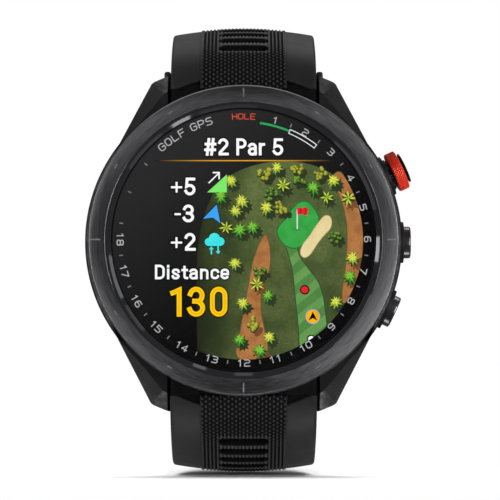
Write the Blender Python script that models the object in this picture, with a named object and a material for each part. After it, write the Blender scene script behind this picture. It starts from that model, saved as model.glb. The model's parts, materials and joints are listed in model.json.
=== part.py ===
"""Golf GPS watch on an unbuckled rubber strap, as an assembly of separate parts.

Everything is laid out in the dial frame, in millimetres: +X to 3 o'clock, +Y to 12 o'clock and +Z out
of the dial, with the origin at the middle of the sensor window's outer face, which lies on the wrist.
The dial_frame empty stands that frame upright, so the finished watch faces -Y with 12 o'clock up.
"""

import math

import bmesh
import bpy
from mathutils import Matrix, Vector

MM = 0.001
FIT = 0.3  # gap left between neighbouring pieces

# Head: radii and heights above the wrist
CASE_RADIUS = 23.8
CASE_BOTTOM, CASE_TOP = 1.2, 10.8
BEZEL_RADIUS, BEZEL_CREST_RADIUS, BEZEL_TOP = 23.15, 20.65, 13.9
LENS_RADIUS, LENS_BOTTOM, LENS_TOP = 19.4, 12.0, 13.1
PANEL_RADIUS, PANEL_BOTTOM, PANEL_TOP = 18.4, 11.1, 11.7
CAVITY_RADIUS, CAVITY_HALF = 19.4, 16.6
BACK_RADIUS, BACK_HALF = 20.6, 17.6
BACK_PLANE, BACK_INNER, LEDGE = 1.2, 2.5, 3.4
WINDOW_RADIUS, WINDOW_THICKNESS, LIGHT_HOLE_RADIUS = 6.7, 1.0, 4.6
PORT_Y, PORT_SIZE = -12.9, (7.4, 4.4)
SCREW_ORBIT, SCREW_ANGLE, SCREW_TOP = 17.2, 40.0, 7.2

# Lugs and strap ends
LUG_GAP = 22.3
STRAP_CUT = 18.7  # how far from the centre the case is cut back for the strap's end
FLANGE_BOTTOM = 9.9
BAR_Y, BAR_Z, BAR_RADIUS, BAR_TIP_RADIUS = 22.5, 3.9, 0.9, 0.5
BAR_TIP_END, LUG_HOLE_END = 12.2, 12.6
LEVER, RELEASE_TRAVEL = (9.4, 10.4), 1.2  # the lever's span along the bar, and how far it slides in

# Buttons: angle above 3 o'clock, and distances out from the watch's centre along each button's axis
BUTTON_ANGLES = {"red": 25.0, "middle": 0.0, "lower": -25.0}
BUTTON_Z = 6.9
GUARD_INNER, GUARD_SEAT, GUARD_OUTER = 19.0, 22.3, 24.1
GUARD_RADIUS, BARREL_RADIUS = 3.1, 2.3
STEM_RADIUS, STEM_END = 0.9, 17.8
SKIRT = 23.4  # the button's underside at rest
PRESS = 0.5  # how far a button travels
STOP = SKIRT - PRESS - 0.1
SPRING_SEAT = 20.7

# Strap: arcs of the neutral line as (length, turn in degrees), from the lug bar outwards
STRAP_HEADING = -8.0
STRAP_SHOULDER = ((6.4, 32.0), (11.7, 50.0))
UPPER_ARCS = (*STRAP_SHOULDER, (31.4, 20.0), (28.5, 20.0))
LOWER_ARCS = (*STRAP_SHOULDER, (98.0, 32.0))
KNUCKLE = 3.3
PANEL_HALF, PANEL_RAISE, CROWN = 6.5, 0.2, 1.0
HEIGHT = ((0.0, 5.1), (3.0, 4.0), (5.0, 3.2), (7.0, 2.5), (9.0, 2.05), (12.0, 1.65), (25.0, 1.45), (130.0, 1.25))
DEPTH = ((0.0, 3.3), (3.0, 2.7), (7.0, 1.95), (12.0, 1.65), (25.0, 1.45), (130.0, 1.25))
HALF_WIDTH = ((0.0, 10.85), (8.0, 10.8), (40.0, 10.4), (70.0, 10.0), (130.0, 9.9))
CROWN_RISE = ((1.0, 0.0), (10.0, 1.0))
RAISE_RISE = ((0.5, 0.0), (2.5, 1.0))
GROOVE_START, GROOVE_PITCH, GROOVE_COUNT = 6.4, 2.25, 8
GROOVE_HALF_LENGTH, GROOVE_HALF_WIDTH, GROOVE_DEPTH = 3.8, 0.7, 0.9
HOLE_START, HOLE_PITCH, HOLE_COUNT, HOLE_HALF = 46.0, 7.0, 9, (1.9, 1.2)
TIP_LENGTH = 9.0

# Buckle and keepers, placed along the upper strap
BUCKLE_EYE, BUCKLE_BAR_RADIUS = 1.9, 0.75
BUCKLE_INNER, BUCKLE_OUTER, BUCKLE_REACH, BUCKLE_BAND = 10.6, 12.4, 10.5, 1.3
FRAME_HALF_THICKNESS = 1.0
BUCKLE_TURN = -50.0  # from the line of the strap's end, so that the buckle hangs straight down
TONGUE_HALF, NOTCH_HALF = 1.0, 2.0
KEEPER_LENGTH, KEEPER_WALL, KEEPER_INNER_HALF, KEEPER_ROOM = 6.0, 1.2, 10.75, 6.4
FREE_KEEPER_AT, FIXED_KEEPER_AT = 57.5, 69.0

IDENTITY = Matrix.Identity(4)


def clear_scene():
    for item in list(bpy.data.objects):
        bpy.data.objects.remove(item)


def material(name, colour, roughness, metallic=0.0):
    made = bpy.data.materials.new(name)
    made.use_nodes = True
    shader = made.node_tree.nodes["Principled BSDF"]
    shader.inputs["Base Color"].default_value = (*colour, 1.0)
    shader.inputs["Roughness"].default_value = roughness
    shader.inputs["Metallic"].default_value = metallic
    made.diffuse_color = (*colour, 1.0)
    return made


def dial_frame():
    frame = bpy.data.objects.new("dial_frame", None)
    bpy.context.collection.objects.link(frame)
    frame.rotation_euler = (math.radians(90), 0, 0)
    return frame


def solid(name, bm, finish, origin=(0, 0, 0)):
    """The bmesh as an object in metres, under the dial frame, with its origin at that point."""
    bm.transform(Matrix.Translation(-Vector(origin)))
    bm.transform(Matrix.Scale(MM, 4))
    bm.normal_update()
    bmesh.ops.recalc_face_normals(bm, faces=bm.faces)
    mesh = bpy.data.meshes.new(name)
    bm.to_mesh(mesh)
    bm.free()
    mesh.materials.append(finish)
    mesh.shade_smooth()
    mesh.set_sharp_from_angle(angle=math.radians(30))
    made = bpy.data.objects.new(name, mesh)
    bpy.context.collection.objects.link(made)
    made.parent = FRAME
    made.location = Vector(origin) * MM
    return made


def helper(name, shapes, finish):
    """A hidden collection of shapes for a Boolean."""
    group = bpy.data.collections.new(name)
    bpy.context.scene.collection.children.link(group)
    group.hide_render = True
    for number, bm in enumerate(shapes):
        tool = solid(f"{name}_{number}", bm, finish)
        bpy.context.collection.objects.unlink(tool)
        group.objects.link(tool)
        tool.hide_render = True
        tool.display_type = "WIRE"
    return group


def combine(target, operation, shapes):
    """Cuts the shapes from the target, or joins them to it."""
    name = f"{target.name}_{operation.lower()}_{len(target.modifiers)}"
    step = target.modifiers.new(name, "BOOLEAN")
    step.operation = operation
    step.solver = "EXACT"
    step.operand_type = "COLLECTION"
    step.collection = helper(name, shapes, target.data.materials[0])


def turned(profile, segments, matrix=IDENTITY):
    """A closed profile of (radius, height) points, spun about Z."""
    bm = bmesh.new()
    corners = [bm.verts.new((radius, 0, height)) for radius, height in profile]
    sides = []
    for here, there in zip(corners, corners[1:] + corners[:1]):
        if here.co.x > 0 or there.co.x > 0:
            sides.append(bm.edges.new((here, there)))
    bmesh.ops.spin(
        bm,
        geom=corners + sides,
        axis=(0, 0, 1),
        cent=(0, 0, 0),
        angle=math.tau,
        steps=segments,
    )
    bmesh.ops.remove_doubles(bm, verts=bm.verts, dist=1e-4)
    bm.transform(matrix)
    return bm


def disc(radius, low, high, segments, matrix=IDENTITY):
    return turned(((0, low), (radius, low), (radius, high), (0, high)), segments, matrix)


def ring(inner, outer, low, high, segments, matrix=IDENTITY):
    return turned(((inner, low), (outer, low), (outer, high), (inner, high)), segments, matrix)


def prism(outline, low, high, matrix=IDENTITY):
    """A flat outline of (x, y) points, extruded along Z."""
    bm = bmesh.new()
    base = bm.faces.new([bm.verts.new((x, y, low)) for x, y in outline])
    grown = bmesh.ops.extrude_face_region(bm, geom=[base])["geom"]
    moved = [item for item in grown if isinstance(item, bmesh.types.BMVert)]
    bmesh.ops.translate(bm, verts=moved, vec=(0, 0, high - low))
    bm.transform(matrix)
    return bm


def box(low, high, matrix=IDENTITY):
    outline = ((low[0], low[1]), (high[0], low[1]), (high[0], high[1]), (low[0], high[1]))
    return prism(outline, low[2], high[2], matrix)


def lofted(sections, closed=False):
    """Closed loops of points joined one to the next, with flat ends unless the last meets the first."""
    bm = bmesh.new()
    loops = [[bm.verts.new(point) for point in section] for section in sections]
    pairs = list(zip(loops, loops[1:]))
    if closed:
        pairs.append((loops[-1], loops[0]))
    else:
        bm.faces.new(loops[0][::-1])
        bm.faces.new(loops[-1])
    for here, there in pairs:
        for i in range(len(here)):
            j = (i + 1) % len(here)
            bm.faces.new((here[i], here[j], there[j], there[i]))
    return bm


def hull(points):
    bm = bmesh.new()
    made = bmesh.ops.convex_hull(bm, input=[bm.verts.new(point) for point in points])
    bmesh.ops.delete(bm, geom=made["geom_interior"], context="VERTS")
    return bm


def clipped_circle(radius, half_height, steps=9):
    """A circle cut flat above and below: arcs on the left and right, straight top and bottom."""
    reach = math.asin(min(1.0, half_height / radius))
    right = [reach * (2 * i / steps - 1) for i in range(steps + 1)]
    angles = right + [math.pi + angle for angle in right]
    return [(radius * math.cos(angle), radius * math.sin(angle)) for angle in angles]


def rounded_rectangle(half_x, half_y, radius, steps=4):
    points = []
    for quarter, (sx, sy) in enumerate(((1, 1), (-1, 1), (-1, -1), (1, -1))):
        for i in range(steps + 1):
            angle = math.radians(90 * (quarter + i / steps))
            points.append(
                (
                    sx * (half_x - radius) + radius * math.cos(angle),
                    sy * (half_y - radius) + radius * math.sin(angle),
                )
            )
    return points


def frame_prism(outer, inner, low, high):
    """An outline with a like-numbered outline cut out of it, extruded along Z."""
    sections = [
        [(*outer[i], low), (*outer[i], high), (*inner[i], high), (*inner[i], low)]
        for i in range(len(outer))
    ]
    return lofted(sections, closed=True)


def about_x(x=0.0, y=0.0, z=0.0):
    """Lays a turned shape's axis along X through a point."""
    return Matrix.Translation((x, y, z)) @ Matrix.Rotation(math.radians(90), 4, "Y")


def table(rows, at):
    """A value read from (position, value) rows, with straight lines between them."""
    for (start, first), (end, last) in zip(rows, rows[1:]):
        if at <= end:
            share = max(0.0, (at - start) / (end - start))
            return first + share * (last - first)
    return rows[-1][1]


# ---------------------------------------------------------------- head


def make_case():
    body = solid(
        "case_body",
        turned(
            (
                (0, CASE_BOTTOM),
                (22.2, CASE_BOTTOM),
                (23.4, 2.4),
                (CASE_RADIUS, 5.0),
                (CASE_RADIUS, 9.4),
                (23.5, CASE_TOP),
                (0, CASE_TOP),
            ),
            64,
        ),
        BLACK_POLYMER,
    )
    combine(body, "UNION", [lug(sx, sy) for sx in (1, -1) for sy in (1, -1)])
    combine(body, "DIFFERENCE", case_openings())
    combine(body, "UNION", [disc(2.5, LEDGE, SCREW_TOP, 16, at) for at in screw_places()])
    combine(body, "DIFFERENCE", [disc(0.8, 3.0, 6.8, 12, at) for at in screw_places()])


def lug(sx, sy):
    """One lug: its outer edge leaves the round case as a tangent, and its top falls towards the tip."""
    points = (
        (10.5, 14.0, 9.9),
        (10.5, 22.3, 9.4),
        (10.5, 25.8, 6.5),
        (13.9, 24.4, 6.3),
        (20.3, 11.8, 8.8),
        (16.0, 12.0, 9.9),
        (10.5, 25.5, 1.0),
        (13.85, 23.9, 1.3),
        (20.0, 11.6, 2.6),
        (10.5, 14.0, 1.5),
    )
    return hull([(sx * x, sy * y, z) for x, y, z in points])


def case_openings():
    cavity = prism(clipped_circle(CAVITY_RADIUS, CAVITY_HALF), LEDGE - 1, CASE_TOP + 1)
    recess = prism(clipped_circle(BACK_RADIUS + FIT, BACK_HALF + FIT), 0, LEDGE)
    groove = ring(20.3, 21.8, CASE_TOP - 0.6, CASE_TOP + 1, 48)
    cuts = [cavity, recess, groove]
    for side in (1, -1):
        near, far = sorted((side * STRAP_CUT, side * 30.0))
        cuts.append(box((-LUG_GAP / 2, near, -1), (LUG_GAP / 2, far, FLANGE_BOTTOM)))
        through = about_x(0, side * BAR_Y, BAR_Z)
        cuts.append(disc(BAR_TIP_RADIUS + FIT, -LUG_HOLE_END, LUG_HOLE_END, 12, through))
    for angle in BUTTON_ANGLES.values():
        cuts.append(disc(BARREL_RADIUS + FIT, 17.5, 26.0, 20, button_axis(angle)))
        cuts.append(disc(GUARD_RADIUS + FIT, GUARD_SEAT - FIT, 26.0, 24, button_axis(angle)))
    return cuts


def screw_places():
    """Where the four case back screws stand."""
    for angle in (SCREW_ANGLE, 180 - SCREW_ANGLE, 180 + SCREW_ANGLE, 360 - SCREW_ANGLE):
        turn = math.radians(angle)
        yield Matrix.Translation((SCREW_ORBIT * math.cos(turn), SCREW_ORBIT * math.sin(turn), 0))


def make_bezel():
    """A ring with a brushed top that falls gently outwards and a chamfer down to the glass."""
    profile = (
        (LENS_RADIUS + FIT, CASE_TOP + FIT),
        (BEZEL_RADIUS, CASE_TOP + FIT),
        (BEZEL_RADIUS, 13.1),
        (22.98, 13.42),
        (BEZEL_CREST_RADIUS, BEZEL_TOP),
        (LENS_RADIUS + FIT, LENS_TOP),
    )
    solid("bezel", turned(profile, 64), DARK_STEEL)
    solid("bezel_gasket", ring(20.6, 21.5, CASE_TOP - FIT, CASE_TOP, 40), RUBBER)


def make_display():
    """The cover glass, the panel below it and the frame that holds the panel over the board."""
    edge = 0.25
    profile = (
        (0, LENS_BOTTOM),
        (LENS_RADIUS, LENS_BOTTOM),
        (LENS_RADIUS, LENS_TOP - edge),
        (LENS_RADIUS - edge, LENS_TOP),
        (0, LENS_TOP),
    )
    solid("display_lens", turned(profile, 48), GLASS)
    solid("display_panel", disc(PANEL_RADIUS, PANEL_BOTTOM, PANEL_TOP, 48), DISPLAY)
    outer = clipped_circle(CAVITY_RADIUS - FIT, CAVITY_HALF - FIT)
    inner = clipped_circle(CAVITY_RADIUS - 2.0, CAVITY_HALF - 2.0)
    solid("display_frame", frame_prism(outer, inner, 9.5, 10.5), GREY_PLASTIC)


def make_case_back():
    """A plate with a low dome for the sensor window, screw holes and a charging port."""
    plate = solid(
        "case_back",
        prism(clipped_circle(BACK_RADIUS, BACK_HALF), BACK_PLANE, BACK_INNER),
        BLACK_POLYMER,
    )
    dome = turned(((0, 0.2), (8.6, 0.2), (11.0, BACK_PLANE + 0.05), (11.0, 2.0), (0, 2.0)), 40)
    combine(plate, "UNION", [dome])
    cuts = [
        disc(WINDOW_RADIUS + FIT, -1, WINDOW_THICKNESS + FIT, 40),
        disc(LIGHT_HOLE_RADIUS, 0, 4, 32),
        prism(port_outline(0), 0, 4),
    ]
    for place in screw_places():
        cuts.append(disc(1.0, 0, 4, 12, place))
        cuts.append(disc(1.75, 0, 1.85, 16, place))
    combine(plate, "DIFFERENCE", cuts)
    outer = clipped_circle(BACK_RADIUS - 0.2, BACK_HALF - 0.2)
    inner = clipped_circle(CAVITY_RADIUS + FIT, CAVITY_HALF + FIT)
    solid("case_back_seal", frame_prism(outer, inner, BACK_INNER + FIT, LEDGE - FIT), RUBBER)


def port_outline(shrink):
    half_x, half_y = (side / 2 - shrink for side in PORT_SIZE)
    outline = rounded_rectangle(half_x, half_y, 0.8 - shrink / 2, 3)
    return [(x, y + PORT_Y) for x, y in outline]


def make_screws():
    """Pan heads with a hexagonal socket, threaded up into the case's bosses."""
    for number, place in enumerate(screw_places(), 1):
        profile = ((0, 1.05), (1.3, 1.05), (1.45, 1.2), (1.45, 1.55), (0.5, 1.55), (0.5, 6.4), (0, 6.4))
        screw = solid(f"case_back_screw_{number}", turned(profile, 12, place), STEEL)
        combine(screw, "DIFFERENCE", [disc(0.65, 0.5, 1.35, 6, place)])


def make_sensor():
    edge = 0.2
    profile = (
        (0, 0),
        (WINDOW_RADIUS - edge, 0),
        (WINDOW_RADIUS, edge),
        (WINDOW_RADIUS, WINDOW_THICKNESS),
        (0, WINDOW_THICKNESS),
    )
    solid("sensor_window", turned(profile, 40), GLASS)
    board = solid("sensor_module", disc(5.6, 2.8, 3.6, 24), BOARD)
    lamps = [box((x - 0.7, y - 0.6, 1.9), (x + 0.7, y + 0.6, 3.0)) for x, y in lamp_places()]
    lamps.append(disc(1.3, 1.7, 3.0, 12))
    combine(board, "UNION", lamps)


def lamp_places():
    """The sensor's lights stand around the one in the middle."""
    angles = [math.radians(45 + 90 * quarter) for quarter in range(4)]
    return [(2.9 * math.cos(angle), 2.9 * math.sin(angle)) for angle in angles]


def make_charging_port():
    block = solid("charging_connector", prism(port_outline(FIT), 1.9, 3.2), GREY_PLASTIC)
    flange = rounded_rectangle(4.6, 3.0, 0.8, 3)
    combine(block, "UNION", [prism([(x, y + PORT_Y) for x, y in flange], 2.8, 3.6)])
    pins = []
    for x in (-2.1, -0.7, 0.7, 2.1):
        pins.append(box((x - 0.35, PORT_Y - 0.9, 1.5), (x + 0.35, PORT_Y + 0.9, 2.4)))
    combine(block, "UNION", pins)


def make_electronics():
    solid("battery", prism(rounded_rectangle(10.2, 15.6, 2.0), 3.9, 7.9), BATTERY_WRAP)
    solid("main_board", prism(clipped_circle(17.4, 15.9), 8.3, 9.1), BOARD)
    solid("shield_can", prism(rounded_rectangle(9.0, 8.5, 1.0, 2), 9.4, 10.6), STEEL)
    solid("gps_antenna", box((-7.0, 10.2, 9.4), (7.0, 13.8, 10.6)), CERAMIC)
    motor_place = Matrix.Translation((-15.0, 0, 0))
    solid("vibration_motor", disc(3.9, 3.7, 6.9, 20, motor_place), STEEL)


# ---------------------------------------------------------------- buttons


def button_axis(angle):
    """Lays a turned shape's axis along the button's, with its heights as distances from the centre."""
    turn = Matrix.Rotation(math.radians(angle), 4, "Z")
    return turn @ about_x(0, 0, BUTTON_Z)


def make_button(name, angle):
    axis = button_axis(angle)
    seat = axis @ Vector((0, 0, GUARD_OUTER))
    guard = (
        (1.2, GUARD_INNER),
        (BARREL_RADIUS, GUARD_INNER),
        (BARREL_RADIUS, GUARD_SEAT),
        (GUARD_RADIUS, GUARD_SEAT),
        (GUARD_RADIUS, GUARD_OUTER - 0.2),
        (GUARD_RADIUS - 0.2, GUARD_OUTER),
        (2.7, GUARD_OUTER),
        (2.7, STOP),
        (1.9, STOP),
        (1.9, SPRING_SEAT),
        (1.2, SPRING_SEAT),
    )
    solid(f"{name}_button_guard", turned(guard, 20, axis), BLACK_POLYMER)
    head = red_head() if name == "red" else plain_head()
    stem = ((0, STEM_END), (STEM_RADIUS, STEM_END), (STEM_RADIUS, SKIRT))
    solid(f"{name}_button", turned((*stem, *head), 20, axis), DARK_STEEL, seat)
    clip = ring(STEM_RADIUS + FIT, 1.8, 18.0, 18.6, 12, axis)
    solid(f"{name}_button_clip", clip, STEEL, seat)
    front = STEM_END - PRESS - 0.1
    switch = box((-1.1, -1.7, front - 1.8), (1.1, 1.7, front), axis)
    solid(f"{name}_button_switch", switch, BLACK_POLYMER)
    make_spring(f"{name}_button_spring", axis)


def plain_head():
    return ((2.4, SKIRT), (2.4, 24.8), (2.1, 25.05), (0, 25.15))


def red_head():
    """A neck, a slimmer core that carries the red ring, and an end cap that keeps the ring on."""
    return ((2.4, SKIRT), (2.4, 24.45), (1.9, 24.45), (1.9, 26.65), (2.3, 26.65), (2.1, 26.85), (0, 26.9))


def make_red_ring(angle):
    axis = button_axis(angle)
    profile = ((2.2, 24.75), (2.85, 24.75), (3.03, 24.9), (3.03, 26.2), (2.85, 26.35), (2.2, 26.35))
    solid("red_button_ring", turned(profile, 28, axis), RED_METAL, axis @ Vector((0, 0, GUARD_OUTER)))


def make_spring(name, axis):
    """A coil around the stem, from the guard's floor to the button's underside."""
    turns, steps, radius, wire = 3, 8, 1.4, 0.17
    low, high = SPRING_SEAT + FIT + wire, SKIRT - FIT - wire
    curve = bpy.data.curves.new(name, "CURVE")
    curve.dimensions = "3D"
    curve.bevel_depth = wire * MM
    curve.bevel_resolution = 0
    curve.use_fill_caps = True
    line = curve.splines.new("POLY")
    line.points.add(turns * steps)
    for i, point in enumerate(line.points):
        angle = math.tau * i / steps
        height = low + (high - low) * i / (turns * steps)
        place = axis @ Vector((radius * math.cos(angle), radius * math.sin(angle), height))
        point.co = (*(place * MM), 1.0)
    curve.materials.append(STEEL)
    made = bpy.data.objects.new(name, curve)
    bpy.context.collection.objects.link(made)
    made.parent = FRAME


# ---------------------------------------------------------------- strap


class StrapLine:
    """The neutral line of one strap half, in the Y-Z plane; side is 1 at 12 o'clock and -1 at 6."""

    def __init__(self, arcs, side):
        self.side = side
        self.length = sum(length for length, _ in arcs)
        self.knots = []
        at, y, z, heading = 0.0, BAR_Y, BAR_Z, math.radians(STRAP_HEADING)
        for length, turn in arcs:
            self.knots.append((at, y, z, heading, -math.radians(turn) / length))
            y, z, heading = self.along(at + length)
            at += length

    def along(self, at):
        """(y, z, heading) at an arc length along the line, which runs straight before its start."""
        start, y, z, heading, bend = [knot for knot in self.knots if knot[0] <= max(at, 0.0)][-1]
        run = at - start
        if at < 0:
            return y + run * math.cos(heading), z + run * math.sin(heading), heading
        end = heading + bend * run
        y += (math.sin(end) - math.sin(heading)) / bend
        z -= (math.cos(end) - math.cos(heading)) / bend
        return y, z, end

    def matrix(self, at):
        """A frame on the line: X across the strap, Y along it and Z out of it, away from the wrist."""
        y, z, heading = self.along(at)
        along = Vector((0, self.side * math.cos(heading), math.sin(heading)))
        out = Vector((0, -self.side * math.sin(heading), math.cos(heading)))
        made = Matrix((Vector((self.side, 0, 0)), along, out)).transposed().to_4x4()
        made.translation = (0, self.side * y, z)
        return made

    def centre_of(self, at):
        """The centre that the line bends about there."""
        _, y, z, heading, bend = [knot for knot in self.knots if knot[0] <= at][-1]
        radius = -1 / bend
        return Vector((0, self.side * (y + radius * math.sin(heading)), z - radius * math.cos(heading)))


def strap_section(half, top, bottom, at):
    """The strap's cross-section as (x, z): flat inside, crowned outside, with a raised middle panel."""
    edge = min(0.6, (top + bottom) / 4)
    crown = CROWN * min(1.0, top / 1.5) * table(CROWN_RISE, at)
    raised = PANEL_RAISE * table(RAISE_RISE, at)
    panel = min(PANEL_HALF, 0.6 * half)
    shoulder = top - crown * (panel / half) ** 2
    right = (
        (half - edge, -bottom),
        (half, -bottom + edge),
        (half, top - crown - edge),
        (half - edge, top - crown),
        (panel + 0.15, shoulder),
        (panel, shoulder + raised),
    )
    middle = ((0.0, top + raised),)
    return [*right, *middle, *((-x, z) for x, z in reversed(right))]


def strap_body(name, line, stations, surfaces, half_width, origin):
    sections = []
    for at in stations:
        place = line.matrix(at)
        outline = strap_section(half_width(at), *surfaces(at), at)
        sections.append([place @ Vector((x, 0, z)) for x, z in outline])
    return solid(name, lofted(sections), RUBBER, origin)


def surfaces_of_strap(at):
    """How far the outer and inner surfaces lie from the neutral line."""
    if at < 0:
        reach = math.sqrt(KNUCKLE**2 - at**2)
        return reach, reach
    return table(HEIGHT, at), table(DEPTH, at)


def knuckle_stations(radius, outward):
    """Places along a round end, from its tip to its axis."""
    return [outward * radius * math.cos(math.radians(angle)) for angle in (10, 35, 60)]


def strap_cuts(line):
    """The lug bar's bore, the notch for its release lever and the cooling grooves."""
    bar = Matrix.Translation((0, line.side * BAR_Y, BAR_Z))
    cuts = [disc(BAR_RADIUS + FIT, -12, 12, 16, bar @ about_x())]
    cuts.append(box((LEVER[0] - RELEASE_TRAVEL - FIT, -1.15, -5), (12, 1.15, 0.2), bar))
    for number in range(GROOVE_COUNT):
        place = line.matrix(GROOVE_START + number * GROOVE_PITCH)
        outline = rounded_rectangle(GROOVE_HALF_LENGTH, GROOVE_HALF_WIDTH, GROOVE_HALF_WIDTH - 0.05, 2)
        top = table(HEIGHT, GROOVE_START + number * GROOVE_PITCH) + PANEL_RAISE
        cuts.append(prism(outline, top - GROOVE_DEPTH, top + 2, place))
    return cuts


def make_upper_strap(line):
    """The buckle half, which ends in an eye for the buckle's bar, notched for the tongue."""
    end = line.length
    last = [end - offset for offset in knuckle_stations(BUCKLE_EYE, -1)][::-1]
    stations = knuckle_stations(KNUCKLE, -1) + spaced(0, 19, 8) + spaced(22, end - 5, 15)
    stations += [end - 2.5, end, *last]

    def surfaces(at):
        if at > end:
            reach = math.sqrt(BUCKLE_EYE**2 - (at - end) ** 2)
            return reach, reach
        swelling = table(((end - 5, 0), (end, BUCKLE_EYE)), at)
        return tuple(max(reach, swelling) for reach in surfaces_of_strap(at))

    pivot = (0, line.side * BAR_Y, BAR_Z)
    strap = strap_body("upper_strap", line, stations, surfaces, lambda at: table(HALF_WIDTH, at), pivot)
    eye = line.matrix(end)
    cuts = strap_cuts(line)
    cuts.append(disc(BUCKLE_BAR_RADIUS + FIT, -12, 12, 12, eye @ about_x()))
    cuts.append(box((-NOTCH_HALF, -2.6, -4), (NOTCH_HALF, 5, 4), eye))
    combine(strap, "DIFFERENCE", cuts)


def make_lower_strap(line):
    """The long half, with the row of holes and a rounded tip."""
    end = line.length
    tip = [end - TIP_LENGTH * (1 - math.sin(math.radians(angle))) for angle in (0, 30, 55, 75, 88)]
    stations = knuckle_stations(KNUCKLE, -1) + spaced(0, 19, 8) + spaced(24, end - TIP_LENGTH - 5, 15) + tip

    def half_width(at):
        past = max(0.0, (at - end + TIP_LENGTH) / TIP_LENGTH)
        return table(HALF_WIDTH, at) * (0.25 + 0.75 * math.sqrt(1 - past**2))

    pivot = (0, line.side * BAR_Y, BAR_Z)
    strap = strap_body("lower_strap", line, stations, surfaces_of_strap, half_width, pivot)
    cuts = strap_cuts(line)
    for number in range(HOLE_COUNT):
        place = line.matrix(HOLE_START + number * HOLE_PITCH)
        cuts.append(prism(rounded_rectangle(*HOLE_HALF, 1.1, 2), -5, 5, place))
    combine(strap, "DIFFERENCE", cuts)


def spaced(start, end, count):
    return [start + (end - start) * i / (count - 1) for i in range(count)]


def make_lug_bar(name, side):
    """A spring bar with a fixed tip on the left and a sliding tip, with its lever, on the right."""
    place = Matrix.Translation((0, side * BAR_Y, BAR_Z))
    tube = (
        (0, -BAR_TIP_END),
        (BAR_TIP_RADIUS, -BAR_TIP_END),
        (BAR_TIP_RADIUS, -10.4),
        (BAR_RADIUS, -10.4),
        (BAR_RADIUS, LEVER[0] - RELEASE_TRAVEL - FIT),
        (0.7, LEVER[0] - RELEASE_TRAVEL - FIT),
        (0.7, 4.6),
        (0, 4.6),
    )
    pivot = (0, side * BAR_Y, BAR_Z)
    solid(f"{name}_lug_bar", turned(tube, 12, place @ about_x()), STEEL, pivot)
    pin = (
        (0, 6.2),
        (0.4, 6.2),
        (0.4, LEVER[0] + 0.2),
        (BAR_TIP_RADIUS, LEVER[0] + 0.2),
        (BAR_TIP_RADIUS, BAR_TIP_END),
        (0, BAR_TIP_END),
    )
    release = solid(f"{name}_bar_release", turned(pin, 12, place @ about_x()), STEEL, pivot)
    combine(release, "UNION", [box((LEVER[0], -0.7, -3.0), (LEVER[1], 0.7, 0.1), place)])


def make_buckle(line):
    """The frame and tongue turn on one bar through the strap's eye."""
    eye = line.matrix(line.length)
    pivot = eye.translation
    bar = (
        (0, -11.9),
        (BAR_TIP_RADIUS, -11.9),
        (BAR_TIP_RADIUS, -10.3),
        (BUCKLE_BAR_RADIUS, -10.3),
        (BUCKLE_BAR_RADIUS, 10.3),
        (BAR_TIP_RADIUS, 10.3),
        (BAR_TIP_RADIUS, 11.9),
        (0, 11.9),
    )
    solid("buckle_bar", turned(bar, 12, eye @ about_x()), STEEL, pivot)
    hanging = eye @ Matrix.Rotation(math.radians(BUCKLE_TURN), 4, "X")
    make_buckle_frame(hanging, pivot)
    make_tongue(hanging, pivot)


def make_buckle_frame(eye, pivot):
    """Two arms from round ears to a cross bar, as one U of constant band."""
    corner = 2.4
    inner_end, outer_end = BUCKLE_REACH - BUCKLE_BAND, BUCKLE_REACH + BUCKLE_BAND
    outer_x, inner_x = BUCKLE_OUTER, BUCKLE_INNER
    outer_side = [(outer_x, 0.0), *corner_arc(outer_x - corner, outer_end - corner, corner)]
    inner_side = [(inner_x, 0.0), *corner_arc(inner_x - 0.8, inner_end - 0.8, 0.8)]
    outline = outer_side + [(-x, y) for x, y in reversed(outer_side)]
    outline += [(-x, y) for x, y in inner_side] + [(x, y) for x, y in reversed(inner_side)]
    frame = solid(
        "buckle_frame",
        prism(outline, -FRAME_HALF_THICKNESS, FRAME_HALF_THICKNESS, eye),
        DARK_STEEL,
        pivot,
    )
    spans = ((inner_x, outer_x), (-outer_x, -inner_x))
    combine(frame, "UNION", [disc(1.7, low, high, 16, eye @ about_x()) for low, high in spans])
    combine(frame, "DIFFERENCE", [disc(BAR_TIP_RADIUS + FIT, -14, 14, 12, eye @ about_x())])


def corner_arc(x, y, radius, steps=4):
    angles = [math.radians(90 * i / steps) for i in range(steps + 1)]
    return [(x + radius * math.cos(a), y + radius * math.sin(a)) for a in angles]


def make_tongue(eye, pivot):
    """An eye round the bar, and a blade that rises over the frame's cross bar and rests on it."""
    tongue = solid(
        "buckle_tongue",
        ring(BUCKLE_BAR_RADIUS + FIT, 1.85, -TONGUE_HALF, TONGUE_HALF, 16, eye @ about_x()),
        DARK_STEEL,
        pivot,
    )
    rest = FRAME_HALF_THICKNESS + FIT
    top = ((1.2, 1.5), (4.0, 2.4), (BUCKLE_REACH - 1.5, 2.5), (BUCKLE_REACH + 1.9, 1.9))
    underside = ((BUCKLE_REACH + 1.9, rest), (BUCKLE_REACH - 1.5, rest), (4.0, 1.2), (1.2, 0.3))
    profile = (*top, *underside)
    blade = [[eye @ Vector((x, y, z)) for y, z in profile] for x in (-0.9, 0.9)]
    combine(tongue, "UNION", [lofted(blade)])


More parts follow.
